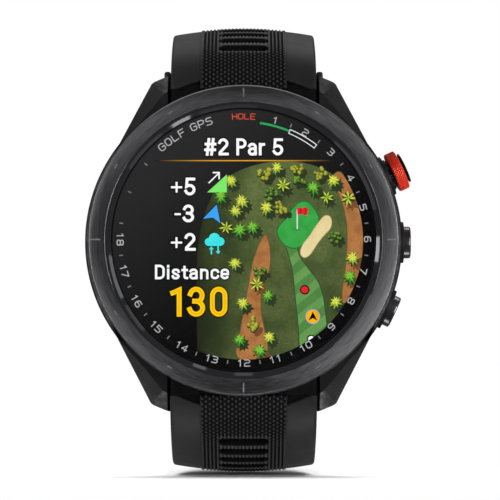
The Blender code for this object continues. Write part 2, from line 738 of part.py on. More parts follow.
def make_keeper(name, line, at):
    """A rubber loop round the strap, with room over the strap for the other half's end."""
    place = line.matrix(at)
    low = -table(DEPTH, at) - 0.45
    middle = low + KEEPER_ROOM / 2
    inner = rounded_rectangle(KEEPER_INNER_HALF, KEEPER_ROOM / 2, 1.2, 2)
    outer = rounded_rectangle(KEEPER_INNER_HALF + KEEPER_WALL, KEEPER_ROOM / 2 + KEEPER_WALL, 2.0, 2)
    upright = place @ Matrix.Translation((0, 0, middle)) @ Matrix.Rotation(math.radians(90), 4, "X")
    shape = frame_prism(outer, inner, -KEEPER_LENGTH / 2, KEEPER_LENGTH / 2)
    shape.transform(upright)
    solid(name, shape, RUBBER, line.centre_of(at))


clear_scene()
FRAME = dial_frame()
BLACK_POLYMER = material("black_polymer", (0.018, 0.018, 0.019), 0.45)
DARK_STEEL = material("dark_steel", (0.09, 0.09, 0.095), 0.32, 1.0)
STEEL = material("steel", (0.55, 0.55, 0.56), 0.3, 1.0)
RED_METAL = material("red_metal", (0.75, 0.04, 0.01), 0.3, 1.0)
RUBBER = material("rubber", (0.02, 0.02, 0.021), 0.6)
GLASS = material("glass", (0.01, 0.01, 0.012), 0.05)
DISPLAY = material("display", (0.005, 0.005, 0.006), 0.2)
GREY_PLASTIC = material("grey_plastic", (0.12, 0.12, 0.125), 0.5)
BOARD = material("circuit_board", (0.01, 0.07, 0.03), 0.45)
BATTERY_WRAP = material("battery_wrap", (0.3, 0.31, 0.32), 0.4)
CERAMIC = material("ceramic", (0.7, 0.68, 0.62), 0.4)

make_case()
make_bezel()
make_display()
make_case_back()
make_screws()
make_sensor()
make_charging_port()
make_electronics()
for button_name, button_angle in BUTTON_ANGLES.items():
    make_button(button_name, button_angle)
make_red_ring(BUTTON_ANGLES["red"])
upper_line = StrapLine(UPPER_ARCS, 1)
lower_line = StrapLine(LOWER_ARCS, -1)
make_upper_strap(upper_line)
make_lower_strap(lower_line)
make_lug_bar("upper", 1)
make_lug_bar("lower", -1)
make_buckle(upper_line)
make_keeper("free_keeper", upper_line, FREE_KEEPER_AT)
make_keeper("fixed_keeper", upper_line, FIXED_KEEPER_AT)
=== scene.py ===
"""Looks of a golf GPS watch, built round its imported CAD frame.

Shapes are laid out in the dial frame, in millimetres: +X to 3 o'clock, +Y to 12 o'clock, +Z out of the
dial, from the middle of the sensor window's outer face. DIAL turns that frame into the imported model's.
"""

import json
import math
import random

import bmesh
import bpy
from mathutils import Matrix, Vector


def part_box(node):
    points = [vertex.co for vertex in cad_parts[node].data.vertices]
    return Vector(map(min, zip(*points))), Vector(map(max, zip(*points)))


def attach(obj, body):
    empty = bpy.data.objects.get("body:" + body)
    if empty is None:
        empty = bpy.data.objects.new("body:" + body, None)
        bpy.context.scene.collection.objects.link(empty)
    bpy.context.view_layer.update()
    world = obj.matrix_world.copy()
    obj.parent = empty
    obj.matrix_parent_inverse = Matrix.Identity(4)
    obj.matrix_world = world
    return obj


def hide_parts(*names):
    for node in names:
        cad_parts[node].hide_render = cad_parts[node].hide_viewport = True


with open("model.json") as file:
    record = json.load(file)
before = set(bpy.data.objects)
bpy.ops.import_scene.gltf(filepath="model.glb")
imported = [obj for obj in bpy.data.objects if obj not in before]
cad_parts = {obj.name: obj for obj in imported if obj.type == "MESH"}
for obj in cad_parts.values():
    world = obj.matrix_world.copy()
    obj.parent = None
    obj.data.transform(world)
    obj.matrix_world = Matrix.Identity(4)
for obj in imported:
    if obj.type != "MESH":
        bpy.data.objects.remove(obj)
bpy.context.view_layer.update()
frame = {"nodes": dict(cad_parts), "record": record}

MM = 0.001
FIT = 0.3
IDENTITY = Matrix.Identity(4)
DIAL = Matrix.Scale(MM, 4) @ Matrix.Rotation(math.radians(90), 4, "X")
BODY_OF = {node: body for body, nodes in frame["record"]["behaviour"]["bodies"].items() for node in nodes}
SLOT_OF = {part["node"]: part["material_slot"] for part in frame["record"]["subparts"]}

# ---------------------------------------------------------------- materials


def add_node(tree, kind, inputs=None, **settings):
    """A node with its settings, and with a link or a value at each of the named or numbered inputs."""
    made = tree.nodes.new(kind)
    for name, value in settings.items():
        setattr(made, name, value)
    for name, value in (inputs or {}).items():
        if isinstance(value, bpy.types.NodeSocket):
            tree.links.new(value, made.inputs[name])
        else:
            made.inputs[name].default_value = value
    return made


def rgb(r, g, b):
    """A linear colour from display values of 0 to 255."""
    return tuple(((v / 255 + 0.055) / 1.055) ** 2.4 if v > 10.3 else v / 255 / 12.92 for v in (r, g, b)) + (1.0,)


class Finish:
    """A procedural material: two noises vary its colour and roughness, and fine grain bumps it."""

    def __init__(self, name, **constants):
        self.material = bpy.data.materials.new(name)
        self.material.use_nodes = True
        self.tree = self.material.node_tree
        self.shader = self.tree.nodes["Principled BSDF"]
        for key, value in constants.items():
            self.shader.inputs[key.replace("_", " ")].default_value = value
        self.place = add_node(self.tree, "ShaderNodeTexCoord").outputs["Object"]

    def axes(self, place=None):
        """The three coordinates of a place in space."""
        return add_node(self.tree, "ShaderNodeSeparateXYZ", {"Vector": place or self.place}).outputs

    def noise(self, size, detail=3.0, place=None):
        """A noise whose features are about that size in millimetres."""
        scale = (1 / (size * MM),) * 3
        at = add_node(self.tree, "ShaderNodeMapping", {"Vector": place or self.place, "Scale": scale})
        found = add_node(self.tree, "ShaderNodeTexNoise", {"Vector": at.outputs[0], "Scale": 1.0, "Detail": detail})
        return found.outputs["Fac"]

    def blend(self, factor, first, second):
        """A colour from the first to the second as the factor goes from 0 to 1."""
        inputs = {0: factor, 6: first, 7: second}
        return add_node(self.tree, "ShaderNodeMix", inputs, data_type="RGBA").outputs[2]

    def spread(self, value, low, high, start=0.35, end=0.65):
        """A value mapped from between start and end to between low and high."""
        inputs = {"Value": value, "From Min": start, "From Max": end, "To Min": low, "To Max": high}
        return add_node(self.tree, "ShaderNodeMapRange", inputs).outputs[0]

    def math(self, operation, *values):
        return add_node(self.tree, "ShaderNodeMath", dict(enumerate(values)), operation=operation).outputs[0]

    def set(self, name, value):
        self.tree.links.new(value, self.shader.inputs[name])

    def bump(self, *heights):
        """Bumps by (noise, depth in millimetres) pairs."""
        normal = None
        for height, depth in heights:
            inputs = {"Height": height, "Distance": depth * MM, "Strength": 1.0}
            if normal:
                inputs["Normal"] = normal
            normal = add_node(self.tree, "ShaderNodeBump", inputs).outputs[0]
        self.set("Normal", normal)

    def wear(self, colour, worn, low=0.52, high=0.62):
        """Lightens sharp outer edges, broken up by noise."""
        point = add_node(self.tree, "ShaderNodeNewGeometry").outputs["Pointiness"]
        edge = self.spread(point, 0.0, 1.0, low, high)
        return self.blend(self.math("MULTIPLY", edge, self.spread(self.noise(0.8), 0.2, 1.0)), colour, worn)


def plain(name, dark, light, rough, grain=0.12, depth=0.006, patch=4.0, worn=None, **constants):
    """A moulded, painted or metal surface with patches of colour, grain and worn edges."""
    made = Finish(name, **constants)
    broad = made.noise(patch, 4.0)
    fine = made.noise(grain, 2.0)
    colour = made.blend(made.spread(broad, 0.0, 1.0), dark, light)
    colour = made.blend(made.spread(fine, 0.0, 0.35), colour, light)
    if worn:
        colour = made.wear(colour, worn)
    made.set("Base Color", colour)
    made.set("Roughness", made.spread(made.math("ADD", broad, made.math("MULTIPLY", fine, 0.5)), *rough, 0.5, 1.0))
    made.bump((fine, depth), (broad, depth * 1.5))
    return made.material


def turned_metal(name, dark, light, rough, lines, depth, **constants):
    """Metal brushed or polished in circles about the dial's axis."""
    made = Finish(name, **constants)
    parts = made.axes()
    radius = made.math("SQRT", made.math("ADD", made.math("POWER", parts[0], 2.0), made.math("POWER", parts[2], 2.0)))
    round_place = add_node(made.tree, "ShaderNodeVectorMath", {0: made.place}, operation="NORMALIZE").outputs[0]
    spin = made.axes(round_place)
    turn = 0.0016  # how far the noise changes round the dial, against its changes along the radius
    inputs = {"X": radius, "Y": made.math("MULTIPLY", spin[0], turn), "Z": made.math("MULTIPLY", spin[2], turn)}
    place = add_node(made.tree, "ShaderNodeCombineXYZ", inputs).outputs[0]
    line = made.noise(lines, 2.0, place=place)
    band = made.noise(lines * 7, 2.0, place=place)
    colour = made.blend(made.spread(line, 0.0, 1.0, 0.3, 0.7), dark, light)
    colour = made.blend(made.spread(band, 0.0, 0.4), colour, light)
    made.set("Base Color", colour)
    made.set("Roughness", made.spread(line, *rough))
    made.bump((line, depth), (band, depth))
    if constants.get("Anisotropic"):
        tangent = add_node(made.tree, "ShaderNodeTangent", direction_type="RADIAL", axis="Y")
        made.set("Tangent", tangent.outputs[0])
    return made.material


def glowing(name):
    """A black finish whose colour is all its own light."""
    black = (0.002, 0.002, 0.002, 1)
    return Finish(name, Base_Color=black, Roughness=0.6, Specular_IOR_Level=0.0, Emission_Strength=1.0)


def lit(name, colour, light=None, size=1.5, speck=0.12):
    """A glowing part of the display's picture, mottled a little."""
    made = glowing(name)
    light = light or tuple(min(1.0, c * 1.1) for c in colour[:3]) + (1.0,)
    shade = made.blend(made.spread(made.noise(size, 3.0), 0.0, 1.0), colour, light)
    shade = made.blend(made.spread(made.noise(speck, 1.0), 0.0, 0.3), shade, colour)
    made.set("Emission Color", shade)
    return made.material


def rubber():
    """Moulded silicone, with painted shade in its hollows and a painted highlight on what stands proud, both given by
    the painted_shade_and_highlight attribute.
    """
    made = Finish("strap_rubber", Specular_IOR_Level=0.42, Sheen_Weight=0.05, Sheen_Roughness=0.5)
    painted_shade_and_highlight = add_node(made.tree, "ShaderNodeAttribute", attribute_name="painted_shade_and_highlight").outputs["Fac"]
    broad, fine = made.noise(7.0, 4.0), made.noise(0.09, 2.0)
    colour = made.blend(made.spread(broad, 0.0, 1.0), rgb(24, 24, 25), rgb(31, 31, 32))
    colour = made.blend(made.spread(fine, 0.0, 0.3), colour, rgb(38, 38, 39))
    # painted shade: where the attribute falls below 1 the colour goes towards black
    colour = made.blend(made.spread(painted_shade_and_highlight, 0.0, 1.0, 0.0, 1.0), rgb(4, 4, 4), colour)
    # painted highlight: where the attribute rises above 1 the colour goes towards light grey
    colour = made.blend(made.spread(painted_shade_and_highlight, 0.0, 0.75, 1.0, 1.9), colour, rgb(104, 104, 105))
    made.set("Base Color", colour)
    made.set("Roughness", made.spread(made.math("ADD", broad, fine), 0.40, 0.52, 0.8, 1.2))
    made.bump((fine, 0.004), (broad, 0.02))
    return made.material


def glass(name, colour, rough, ior=1.45):
    """Clear glass with faint smears. A low ior stands for an anti-reflection coating."""
    made = Finish(name, Base_Color=colour, Transmission_Weight=1.0, IOR=ior)
    smear = made.noise(9.0, 4.0)
    made.set("Roughness", made.spread(smear, rough, rough + 0.015))
    return made.material


POLYMER = plain("case_polymer", rgb(34, 34, 35), rgb(42, 42, 43), (0.34, 0.46), worn=rgb(110, 110, 112))
# painted shade: a near-black copy of the case polymer for the recesses and gaps round the bezel and beside the strap
PAINTED_SHADE_RECESS = plain("recess_painted_shade", rgb(7, 7, 7), rgb(11, 11, 11), (0.6, 0.75))
GUARD = plain("guard_polymer", rgb(12, 12, 13), rgb(20, 20, 21), (0.45, 0.6), worn=rgb(50, 50, 52))
INNER_PLASTIC = plain("inner_plastic", rgb(28, 28, 30), rgb(38, 38, 40), (0.45, 0.6))
SWITCH = plain("switch_plastic", rgb(16, 16, 17), rgb(28, 28, 30), (0.4, 0.55))
SEAL = plain("seal_rubber", rgb(14, 14, 14), rgb(22, 22, 22), (0.6, 0.75), depth=0.003)
STEEL_ARGS = {"Metallic": 1.0}
SCREW = plain("screw_steel", rgb(92, 92, 95), rgb(126, 126, 129), (0.24, 0.38), worn=rgb(170, 170, 172), **STEEL_ARGS)
BAR = plain("bar_steel", rgb(120, 120, 122), rgb(160, 160, 162), (0.2, 0.36), worn=rgb(190, 190, 190), **STEEL_ARGS)
SPRING = plain("spring_steel", rgb(130, 130, 132), rgb(165, 165, 168), (0.2, 0.3), **STEEL_ARGS)
SHIELD = plain("shield_metal", rgb(150, 150, 150), rgb(178, 178, 176), (0.28, 0.42), **STEEL_ARGS)
BUCKLE = plain(
    "buckle_steel", rgb(58, 58, 61), rgb(80, 80, 84), (0.22, 0.36), patch=2.0, worn=rgb(150, 150, 153),
    **STEEL_ARGS
)
BUTTON = plain(
    "button_steel", rgb(90, 90, 94), rgb(122, 122, 126), (0.18, 0.3), patch=1.5, worn=rgb(170, 170, 173),
    **STEEL_ARGS
)
NECK = plain(
    "button_neck_steel", rgb(30, 32, 34), rgb(48, 50, 54), (0.22, 0.34), patch=1.0, worn=rgb(110, 112, 116),
    **STEEL_ARGS
)
GOLD = plain("gold_contact", (0.85, 0.6, 0.25, 1), (0.95, 0.72, 0.36, 1), (0.16, 0.3), **STEEL_ARGS)
RED = plain(
    "red_metal", rgb(226, 32, 8), rgb(255, 62, 22), (0.24, 0.36), patch=1.2, worn=rgb(255, 120, 90), Metallic=0.3,
)
BOARD = plain("circuit_board", rgb(6, 60, 30), rgb(10, 84, 44), (0.35, 0.5), patch=1.2)
CHIP = plain("chip_black", rgb(18, 18, 20), rgb(30, 30, 33), (0.4, 0.55))
WRAP = plain("battery_wrap", rgb(120, 122, 124), rgb(150, 152, 156), (0.3, 0.45), patch=6.0)
CERAMIC = plain("antenna_ceramic", rgb(196, 188, 170), rgb(214, 206, 190), (0.35, 0.5), patch=2.0)
PANEL_BLACK = plain("panel_black", rgb(4, 4, 5), rgb(9, 9, 10), (0.15, 0.3), depth=0.0005)
PACKAGE = plain("lamp_package", rgb(200, 200, 192), rgb(226, 226, 220), (0.3, 0.45), patch=1.0)
DIE_GREEN = plain("lamp_green", rgb(60, 120, 60), rgb(110, 170, 90), (0.1, 0.2), patch=0.4)
DIE_RED = plain("lamp_red", rgb(120, 30, 26), rgb(170, 60, 50), (0.1, 0.2), patch=0.4)
BRUSHED = turned_metal(
    "bezel_brushed", rgb(78, 78, 80), rgb(106, 106, 108), (0.3, 0.4), 0.13, 0.0012, Metallic=1.0, Anisotropic=0.75,
)
POLISHED = turned_metal(
    "bezel_polished", rgb(96, 96, 99), rgb(112, 112, 115), (0.05, 0.08), 0.5, 0.0002, Metallic=1.0,
)
RIM = plain("bezel_rim", rgb(128, 128, 130), rgb(158, 158, 160), (0.3, 0.42), depth=0.001, patch=1.0, Metallic=1.0)
MARK = plain("bezel_mark", rgb(92, 92, 94), rgb(112, 112, 114), (0.4, 0.55), depth=0.002, patch=0.5)
RUBBER = rubber()
# painted shade: a darker, duller rubber for the strap's hollows and slots, where shade falls
PAINTED_SHADE_HOLLOW = plain("strap_hollow_painted_shade", rgb(11, 11, 11), rgb(17, 17, 17), (0.7, 0.85), Specular_IOR_Level=0.12)
LENS_GLASS = glass("lens_glass", (1, 1, 1, 1), 0.0, ior=1.22)
LENS_EDGE = plain("lens_edge", rgb(16, 16, 17), rgb(24, 24, 25), (0.35, 0.45), depth=0.0003)
SENSOR_GLASS = glass("sensor_glass", (0.30, 0.30, 0.33, 1), 0.01)

BY_SLOT = {
    "case_polymer": POLYMER,
    "bezel_steel": BRUSHED,
    "seal_rubber": SEAL,
    "lens_glass": LENS_GLASS,
    "display": PANEL_BLACK,
    "inner_plastic": INNER_PLASTIC,
    "screw_steel": SCREW,
    "sensor_glass": SENSOR_GLASS,
    "circuit_board": BOARD,
    "battery_wrap": WRAP,
    "shield_metal": SHIELD,
    "antenna_ceramic": CERAMIC,
    "guard_polymer": GUARD,
    "button_steel": BUTTON,
    "spring_steel": SPRING,
    "switch_plastic": SWITCH,
    "red_metal": RED,
    "strap_rubber": RUBBER,
    "bar_steel": BAR,
    "buckle_steel": BUCKLE,
}
for node_name, node_object in frame["nodes"].items():
    node_object.data.materials.clear()
    node_object.data.materials.append(BY_SLOT[SLOT_OF[node_name]])

# ---------------------------------------------------------------- mesh tools


def piece(name, bm, finishes, body, replaces=(), smooth=32.0):
    """The bmesh, laid out in the dial frame, as a piece that rides on a body."""
    bm.transform(DIAL)
    bm.normal_update()
    bmesh.ops.recalc_face_normals(bm, faces=bm.faces)
    mesh = bpy.data.meshes.new(name)
    bm.to_mesh(mesh)
    bm.free()
    for finish in finishes if isinstance(finishes, (list, tuple)) else [finishes]:
        mesh.materials.append(finish)
    mesh.shade_smooth()
    mesh.set_sharp_from_angle(angle=math.radians(smooth))
    made = bpy.data.objects.new(name, mesh)
    bpy.context.scene.collection.objects.link(made)
    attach(made, body)
    if replaces:
        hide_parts(*replaces)
    return made


def stand_in(node, bm, finishes, smooth=32.0):
    """A detailed piece in place of one CAD node, on its body."""
    return piece(f"{node}_detail", bm, finishes, BODY_OF[node], [node], smooth)


def fillet(points, radius, steps=3, closed=True):
    """Rounds the corners of a polygon or line of points."""
    made = []
    points = [Vector(p) for p in points]
    for i, here in enumerate(points):
        if not closed and i in (0, len(points) - 1):
            made.append(here)
            continue
        before, after = points[i - 1], points[(i + 1) % len(points)]
        back, ahead = before - here, after - here
        turn = back.angle(ahead, math.pi) if back.length and ahead.length else math.pi
        reach = min(radius / max(math.tan(turn / 2), 0.05), back.length * 0.45, ahead.length * 0.45)
        if turn > math.radians(172) or reach < 1e-4:
            made.append(here)
            continue
        start, end = here + back.normalized() * reach, here + ahead.normalized() * reach
        for k in range(steps + 1):
            t = k / steps
            made.append(start * (1 - t) ** 2 + here * 2 * t * (1 - t) + end * t * t)
    return made


def turned(profile, segments, matrix=IDENTITY, finish_of=None, shape=None):
    """A closed (radius, height) profile spun about Z. finish_of gives the material by radius and height,
    and shape(angle, radius, height) may move each point in or out."""
    bm = bmesh.new()
    loops = []
    for i in range(segments):
        angle = math.tau * i / segments
        loop = []
        for radius, height in profile:
            reach = shape(angle, radius, height) if shape else radius
            loop.append(bm.verts.new((reach * math.cos(angle), reach * math.sin(angle), height)))
        loops.append(loop)
    count = len(profile)
    for i in range(segments):
        here, there = loops[i], loops[(i + 1) % segments]
        for j in range(count):
            k = (j + 1) % count
            if profile[j][0] < 1e-6 and profile[k][0] < 1e-6:
                continue
            face = bm.faces.new((here[j], here[k], there[k], there[j]))
            if finish_of:
                face.material_index = finish_of(
                    (profile[j][0] + profile[k][0]) / 2, (profile[j][1] + profile[k][1]) / 2
                )
    bmesh.ops.remove_doubles(bm, verts=bm.verts, dist=1e-5)
    bmesh.ops.dissolve_degenerate(bm, edges=bm.edges, dist=1e-6)
    bm.transform(matrix)
    return bm


def capped(points, radius, steps=3):
    """A profile from the axis out and back to it, rounded between its first and last corners."""
    return [points[0], *fillet(points[1:-1], radius, steps, closed=False), points[-1]]


def disc(radius, low, high, segments, matrix=IDENTITY):
    """A plain cylinder, for cutting and for hidden parts."""
    return turned(((0, low), (radius, low), (radius, high), (0, high)), segments, matrix)


def bridged(bm, loops, finish=0):
    """The faces from each closed loop to the next."""
    made = []
    for here, there in zip(loops, loops[1:]):
        for i in range(len(here)):
            j = (i + 1) % len(here)
            made.append(bm.faces.new((here[i], here[j], there[j], there[i])))
            made[-1].material_index = finish
    return made


def prism(outline, low, high, matrix=IDENTITY, edge=0.0, steps=2):
    """An outline extruded along Z, with its two rims rounded by edge."""
    bm = bmesh.new()
    if edge:
        turns = [math.radians(90 * k / steps) for k in range(steps + 1)]
        rise = [(edge * (1 - math.sin(t)), edge * (1 - math.cos(t))) for t in turns]
        rows = [(low + up, inset) for inset, up in rise]
        rows += [(high - up, inset) for inset, up in reversed(rise)]
    else:
        rows = [(low, 0.0), (high, 0.0)]
    shrunk = {inset: inset_outline(outline, inset) for _, inset in rows}
    loops = [[bm.verts.new((p.x, p.y, z)) for p in shrunk[inset]] for z, inset in rows]
    bm.faces.new(loops[0][::-1])
    bm.faces.new(loops[-1])
    bridged(bm, loops)
    bm.transform(matrix)
    return bm


def inset_outline(outline, inset):
    """The outline moved inwards by inset, or outwards if it is negative."""
    points = [Vector((p[0], p[1])) for p in outline]
    if not inset:
        return points
    area = sum(a.x * b.y - b.x * a.y for a, b in zip(points, points[1:] + points[:1]))
    side = 1 if area > 0 else -1
    made = []
    for i, here in enumerate(points):
        back = (here - points[i - 1]).normalized()
        ahead = (points[(i + 1) % len(points)] - here).normalized()
        normal = Vector((-back.y - ahead.y, back.x + ahead.x)) * side
        if normal.length < 1e-6:
            made.append(here.copy())
            continue
        normal.normalize()
        across = abs(normal.dot(Vector((-back.y, back.x)) * side))
        made.append(here + normal * inset / max(across, 0.5))
    return made


def box(low, high, matrix=IDENTITY, edge=0.0):
    outline = ((low[0], low[1]), (high[0], low[1]), (high[0], high[1]), (low[0], high[1]))
    if edge:
        outline = fillet(outline, edge, 2)
    return prism(outline, low[2], high[2], matrix, edge)


def rounded_rectangle(half_x, half_y, radius, steps=5):
    """A rectangle's outline with its four corners rounded."""
    made = []
    for quarter, (sx, sy) in enumerate(((1, 1), (-1, 1), (-1, -1), (1, -1))):
        for k in range(steps + 1):
            angle = math.radians(90 * (quarter + k / steps))
            made.append((
                sx * (half_x - radius) + radius * math.cos(angle),
                sy * (half_y - radius) + radius * math.sin(angle),
            ))
    return made


def clipped_circle(radius, half_height, steps=24, corner=0.0):
    """A circle cut flat above and below."""
    reach = math.asin(min(1.0, half_height / radius))
    right = [reach * (2 * k / steps - 1) for k in range(steps + 1)]
    made = [(radius * math.cos(a), radius * math.sin(a)) for a in right + [math.pi + a for a in right]]
    return fillet(made, corner, 3) if corner else made


def lofted(sections, closed=False, bm=None, finish=0):
    """Closed loops of points joined one to the next, with flat ends unless the last meets the first."""
    bm = bm or bmesh.new()
    loops = [[bm.verts.new(point) for point in section] for section in sections]
    if closed:
        loops.append(loops[0])
    else:
        for cap in (loops[0][::-1], loops[-1]):
            bm.faces.new(cap).material_index = finish
    bridged(bm, loops, finish)
    return bm


def join(target, *others, finish=None):
    """Adds the others' faces to target, with that material index if it is given."""
    for other in others:
        if finish is not None:
            for face in other.faces:
                face.material_index = finish
        temporary = bpy.data.meshes.new("joining")
        other.to_mesh(temporary)
        other.free()
        target.from_mesh(temporary)
        bpy.data.meshes.remove(temporary)
    return target


def carved(bm, steps):
    """The bmesh after a run of (operation, [bmesh, ...]) Booleans."""

    def as_object(shape):
        shape.normal_update()
        bmesh.ops.recalc_face_normals(shape, faces=shape.faces)
        mesh = bpy.data.meshes.new("carving")
        shape.to_mesh(mesh)
        shape.free()
        made = bpy.data.objects.new("carving", mesh)
        bpy.context.scene.collection.objects.link(made)
        for _ in range(4):
            mesh.materials.append(None)
        return made

    target = as_object(bm)
    used = [target]
    for operation, shapes in steps:
        group = bpy.data.collections.new("carving")
        bpy.context.scene.collection.children.link(group)
        for shape in shapes:
            tool = as_object(shape)
            used.append(tool)
            bpy.context.scene.collection.objects.unlink(tool)
            group.objects.link(tool)
        step = target.modifiers.new("carving", "BOOLEAN")
        step.operation, step.solver = operation, "EXACT"
        step.operand_type, step.collection = "COLLECTION", group
        step.material_mode = "INDEX"
    bpy.context.view_layer.update()
    evaluated = target.evaluated_get(bpy.context.evaluated_depsgraph_get())
    made = bmesh.new()
    made.from_mesh(evaluated.to_mesh())
    evaluated.to_mesh_clear()
    for thing in used:
        bpy.data.objects.remove(thing)
    for group in [g for g in bpy.data.collections if g.name.startswith("carving")]:
        bpy.data.collections.remove(group)
    return made


def about_x(x=0.0, y=0.0, z=0.0):
    """Lays a turned shape's axis along X through a point."""
    return Matrix.Translation((x, y, z)) @ Matrix.Rotation(math.radians(90), 4, "Y")


def table(rows, at):
    """A value read from (position, value) rows, with straight lines between them."""
    for (start, first), (end, last) in zip(rows, rows[1:]):
        if at <= end:
            return first + max(0.0, (at - start) / (end - start)) * (last - first)
    return rows[-1][1]


def smooth_step(start, end, at):
    t = min(1.0, max(0.0, (at - start) / (end - start)))
    return t * t * (3 - 2 * t)


# ---------------------------------------------------------------- case and bezel

BAR_Y, BAR_Z = 22.5, 3.9
BUTTON_ANGLES = {"red": 25.0, "middle": 0.0, "lower": -25.0}
BUTTON_Z = 6.9
RECESS_OFFSET, RECESS_RADIUS, RECESS_FLOOR = 5.2, 20.95, 8.4
STEP_OFFSET, STEP_RADIUS = 3.0, 22.3
SCREW_ORBIT, SCREW_ANGLES = 17.2, (40, 140, 220, 320)
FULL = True


def button_axis(angle):
    """Lays a turned shape's axis along a button's, with its heights as distances from the centre."""
    return Matrix.Rotation(math.radians(angle), 4, "Z") @ about_x(0, 0, BUTTON_Z)


def screw_places():
    for angle in SCREW_ANGLES:
        turn = math.radians(angle)
        yield Matrix.Translation((SCREW_ORBIT * math.cos(turn), SCREW_ORBIT * math.sin(turn), 0))


def lug(sx, sy):
    """One lug with softened edges."""
    points = (
        (10.5, 14.0, 9.9), (10.5, 22.3, 9.4), (10.5, 25.8, 6.5), (13.9, 24.4, 6.3), (20.75, 11.04, 8.8),
        (16.0, 12.0, 9.9), (10.5, 25.5, 1.0), (13.85, 23.9, 1.3), (20.45, 10.9, 2.6), (10.5, 14.0, 1.5),
    )
    bm = bmesh.new()
    made = bmesh.ops.convex_hull(bm, input=[bm.verts.new((sx * x, sy * y, z)) for x, y, z in points])
    bmesh.ops.delete(bm, geom=made["geom_interior"], context="VERTS")
    bmesh.ops.dissolve_limit(bm, angle_limit=math.radians(4), verts=bm.verts, edges=bm.edges)
    bmesh.ops.bevel(bm, geom=bm.edges[:], offset=0.25, segments=3, profile=0.5, affect="EDGES", clamp_overlap=True)
    return bm


def recess(side):
    """The crescent beside the bezel, between the rim and a circle set off towards the strap."""
    rim, count = 23.2, 48
    cross_y = (rim**2 - RECESS_RADIUS**2 + RECESS_OFFSET**2) / (2 * RECESS_OFFSET)
    start = math.asin((cross_y - RECESS_OFFSET) / RECESS_RADIUS)
    inner = math.asin(cross_y / rim)
    outline = []
    for k in range(count + 1):
        angle = start + (math.pi - 2 * start) * k / count
        outline.append((RECESS_RADIUS * math.cos(angle), side * (RECESS_OFFSET + RECESS_RADIUS * math.sin(angle))))
    for k in range(1, count):
        angle = math.pi - inner - (math.pi - 2 * inner) * k / count
        outline.append((rim * math.cos(angle), side * rim * math.sin(angle)))
    return prism(outline, RECESS_FLOOR, 12.0)


def make_case():
    rim = ((0, 1.2), (22.2, 1.2), (23.4, 2.4), (23.8, 5.0), (23.8, 9.4), (23.5, 10.8), (0, 10.8))
    # painted shade: the rim's slope under the bezel gets the dark recess material
    shade_from = 9.3  # the rim's slope above this height is as dark as the recesses
    body = turned(capped(rim, 0.4), 160, finish_of=lambda radius, height: int(radius > 22.0 and height > shade_from))
    cavity = prism(clipped_circle(19.4, 16.6), 2.4, 12.0)
    back = prism(clipped_circle(20.9, 17.9), 0, 3.4)
    groove = turned(((20.3, 10.2), (21.8, 10.2), (21.8, 12), (20.3, 12)), 96)
    cuts = [cavity, back, groove]
    for side in (1, -1):
        near, far = sorted((side * 18.7, side * 30.0))
        cuts.append(box((-11.15, near, -1), (11.15, far, 9.9)))
        cuts.append(disc(0.8, -12.6, 12.6, 20, about_x(0, side * BAR_Y, BAR_Z)))
        near, far = sorted((side * 20.0, side * 27.0))
        # painted shade: the crescents beside the bezel and the thin strips beside the strap take the dark recess
        # material
        shadows = [
            recess(side), box((11.0, near, 5.6), (11.45, far, 12.0)), box((-11.45, near, 5.6), (-11.0, far, 12.0)),
        ]
        for cut in shadows:
            for face in cut.faces:
                face.material_index = 1
        cuts += shadows
    for angle in BUTTON_ANGLES.values():
        cuts.append(disc(2.6, 17.5, 26.0, 40, button_axis(angle)))
        cuts.append(disc(3.4, 22.0, 26.0, 48, button_axis(angle)))
    lugs = [lug(sx, sy) for sx in (1, -1) for sy in (1, -1)]
    bosses = [disc(2.5, 3.4, 7.2, 24, place) for place in screw_places()]
    holes = [disc(0.8, 3.0, 6.8, 16, place) for place in screw_places()]
    made = carved(body, [("UNION", lugs), ("DIFFERENCE", cuts), ("UNION", bosses), ("DIFFERENCE", holes)])
    stand_in("case_body", made, [POLYMER, PAINTED_SHADE_RECESS], smooth=24.0)


def make_bezel():
    """A ring with a brushed top that falls gently outwards and a polished chamfer down to the glass."""
    corners = ((19.7, 11.1), (23.15, 11.1), (23.15, 13.1), (22.98, 13.42), (20.65, 13.9), (19.7, 13.1))

    def finish_of(radius, height):
        if radius > 22.9 and height > 13.02:
            return 2
        return 0 if radius > 20.72 and height > 13.38 else 1

    ring = turned(fillet(corners, 0.09), 256, finish_of=finish_of)
    stand_in("bezel", ring, [BRUSHED, POLISHED, RIM], smooth=40.0)
    marks = bmesh.new()
    tilt = Matrix.Rotation(math.atan2(0.48, 2.33), 4, "Y")  # the brushed top's slope
    for hour in range(12):
        length, width, radius = (1.44, 0.25, 21.95) if hour % 3 == 0 else (0.2, 0.8, 21.85)
        on_slope = Matrix.Translation((radius, 0, 13.32 + (22.98 - radius) * 0.206)) @ tilt
        place = Matrix.Rotation(math.radians(30 * hour), 4, "Z") @ on_slope
        outline = rounded_rectangle(length / 2, width / 2, 0.09, 3)
        join(marks, prism(outline, 0.0, 0.16, place, 0.03))
    piece("bezel_marks", marks, MARK, BODY_OF["bezel"])


# ---------------------------------------------------------------- display

DISPLAY_RADIUS, LENS_RADIUS, PRINT_RADIUS = 17.8, 19.6, 18.43
PRINT_LIFT = 0.13  # the printed ring and the display's picture sit a touch above the bezel's centre
LAYER = 11.72  # the lowest layer of the display's picture

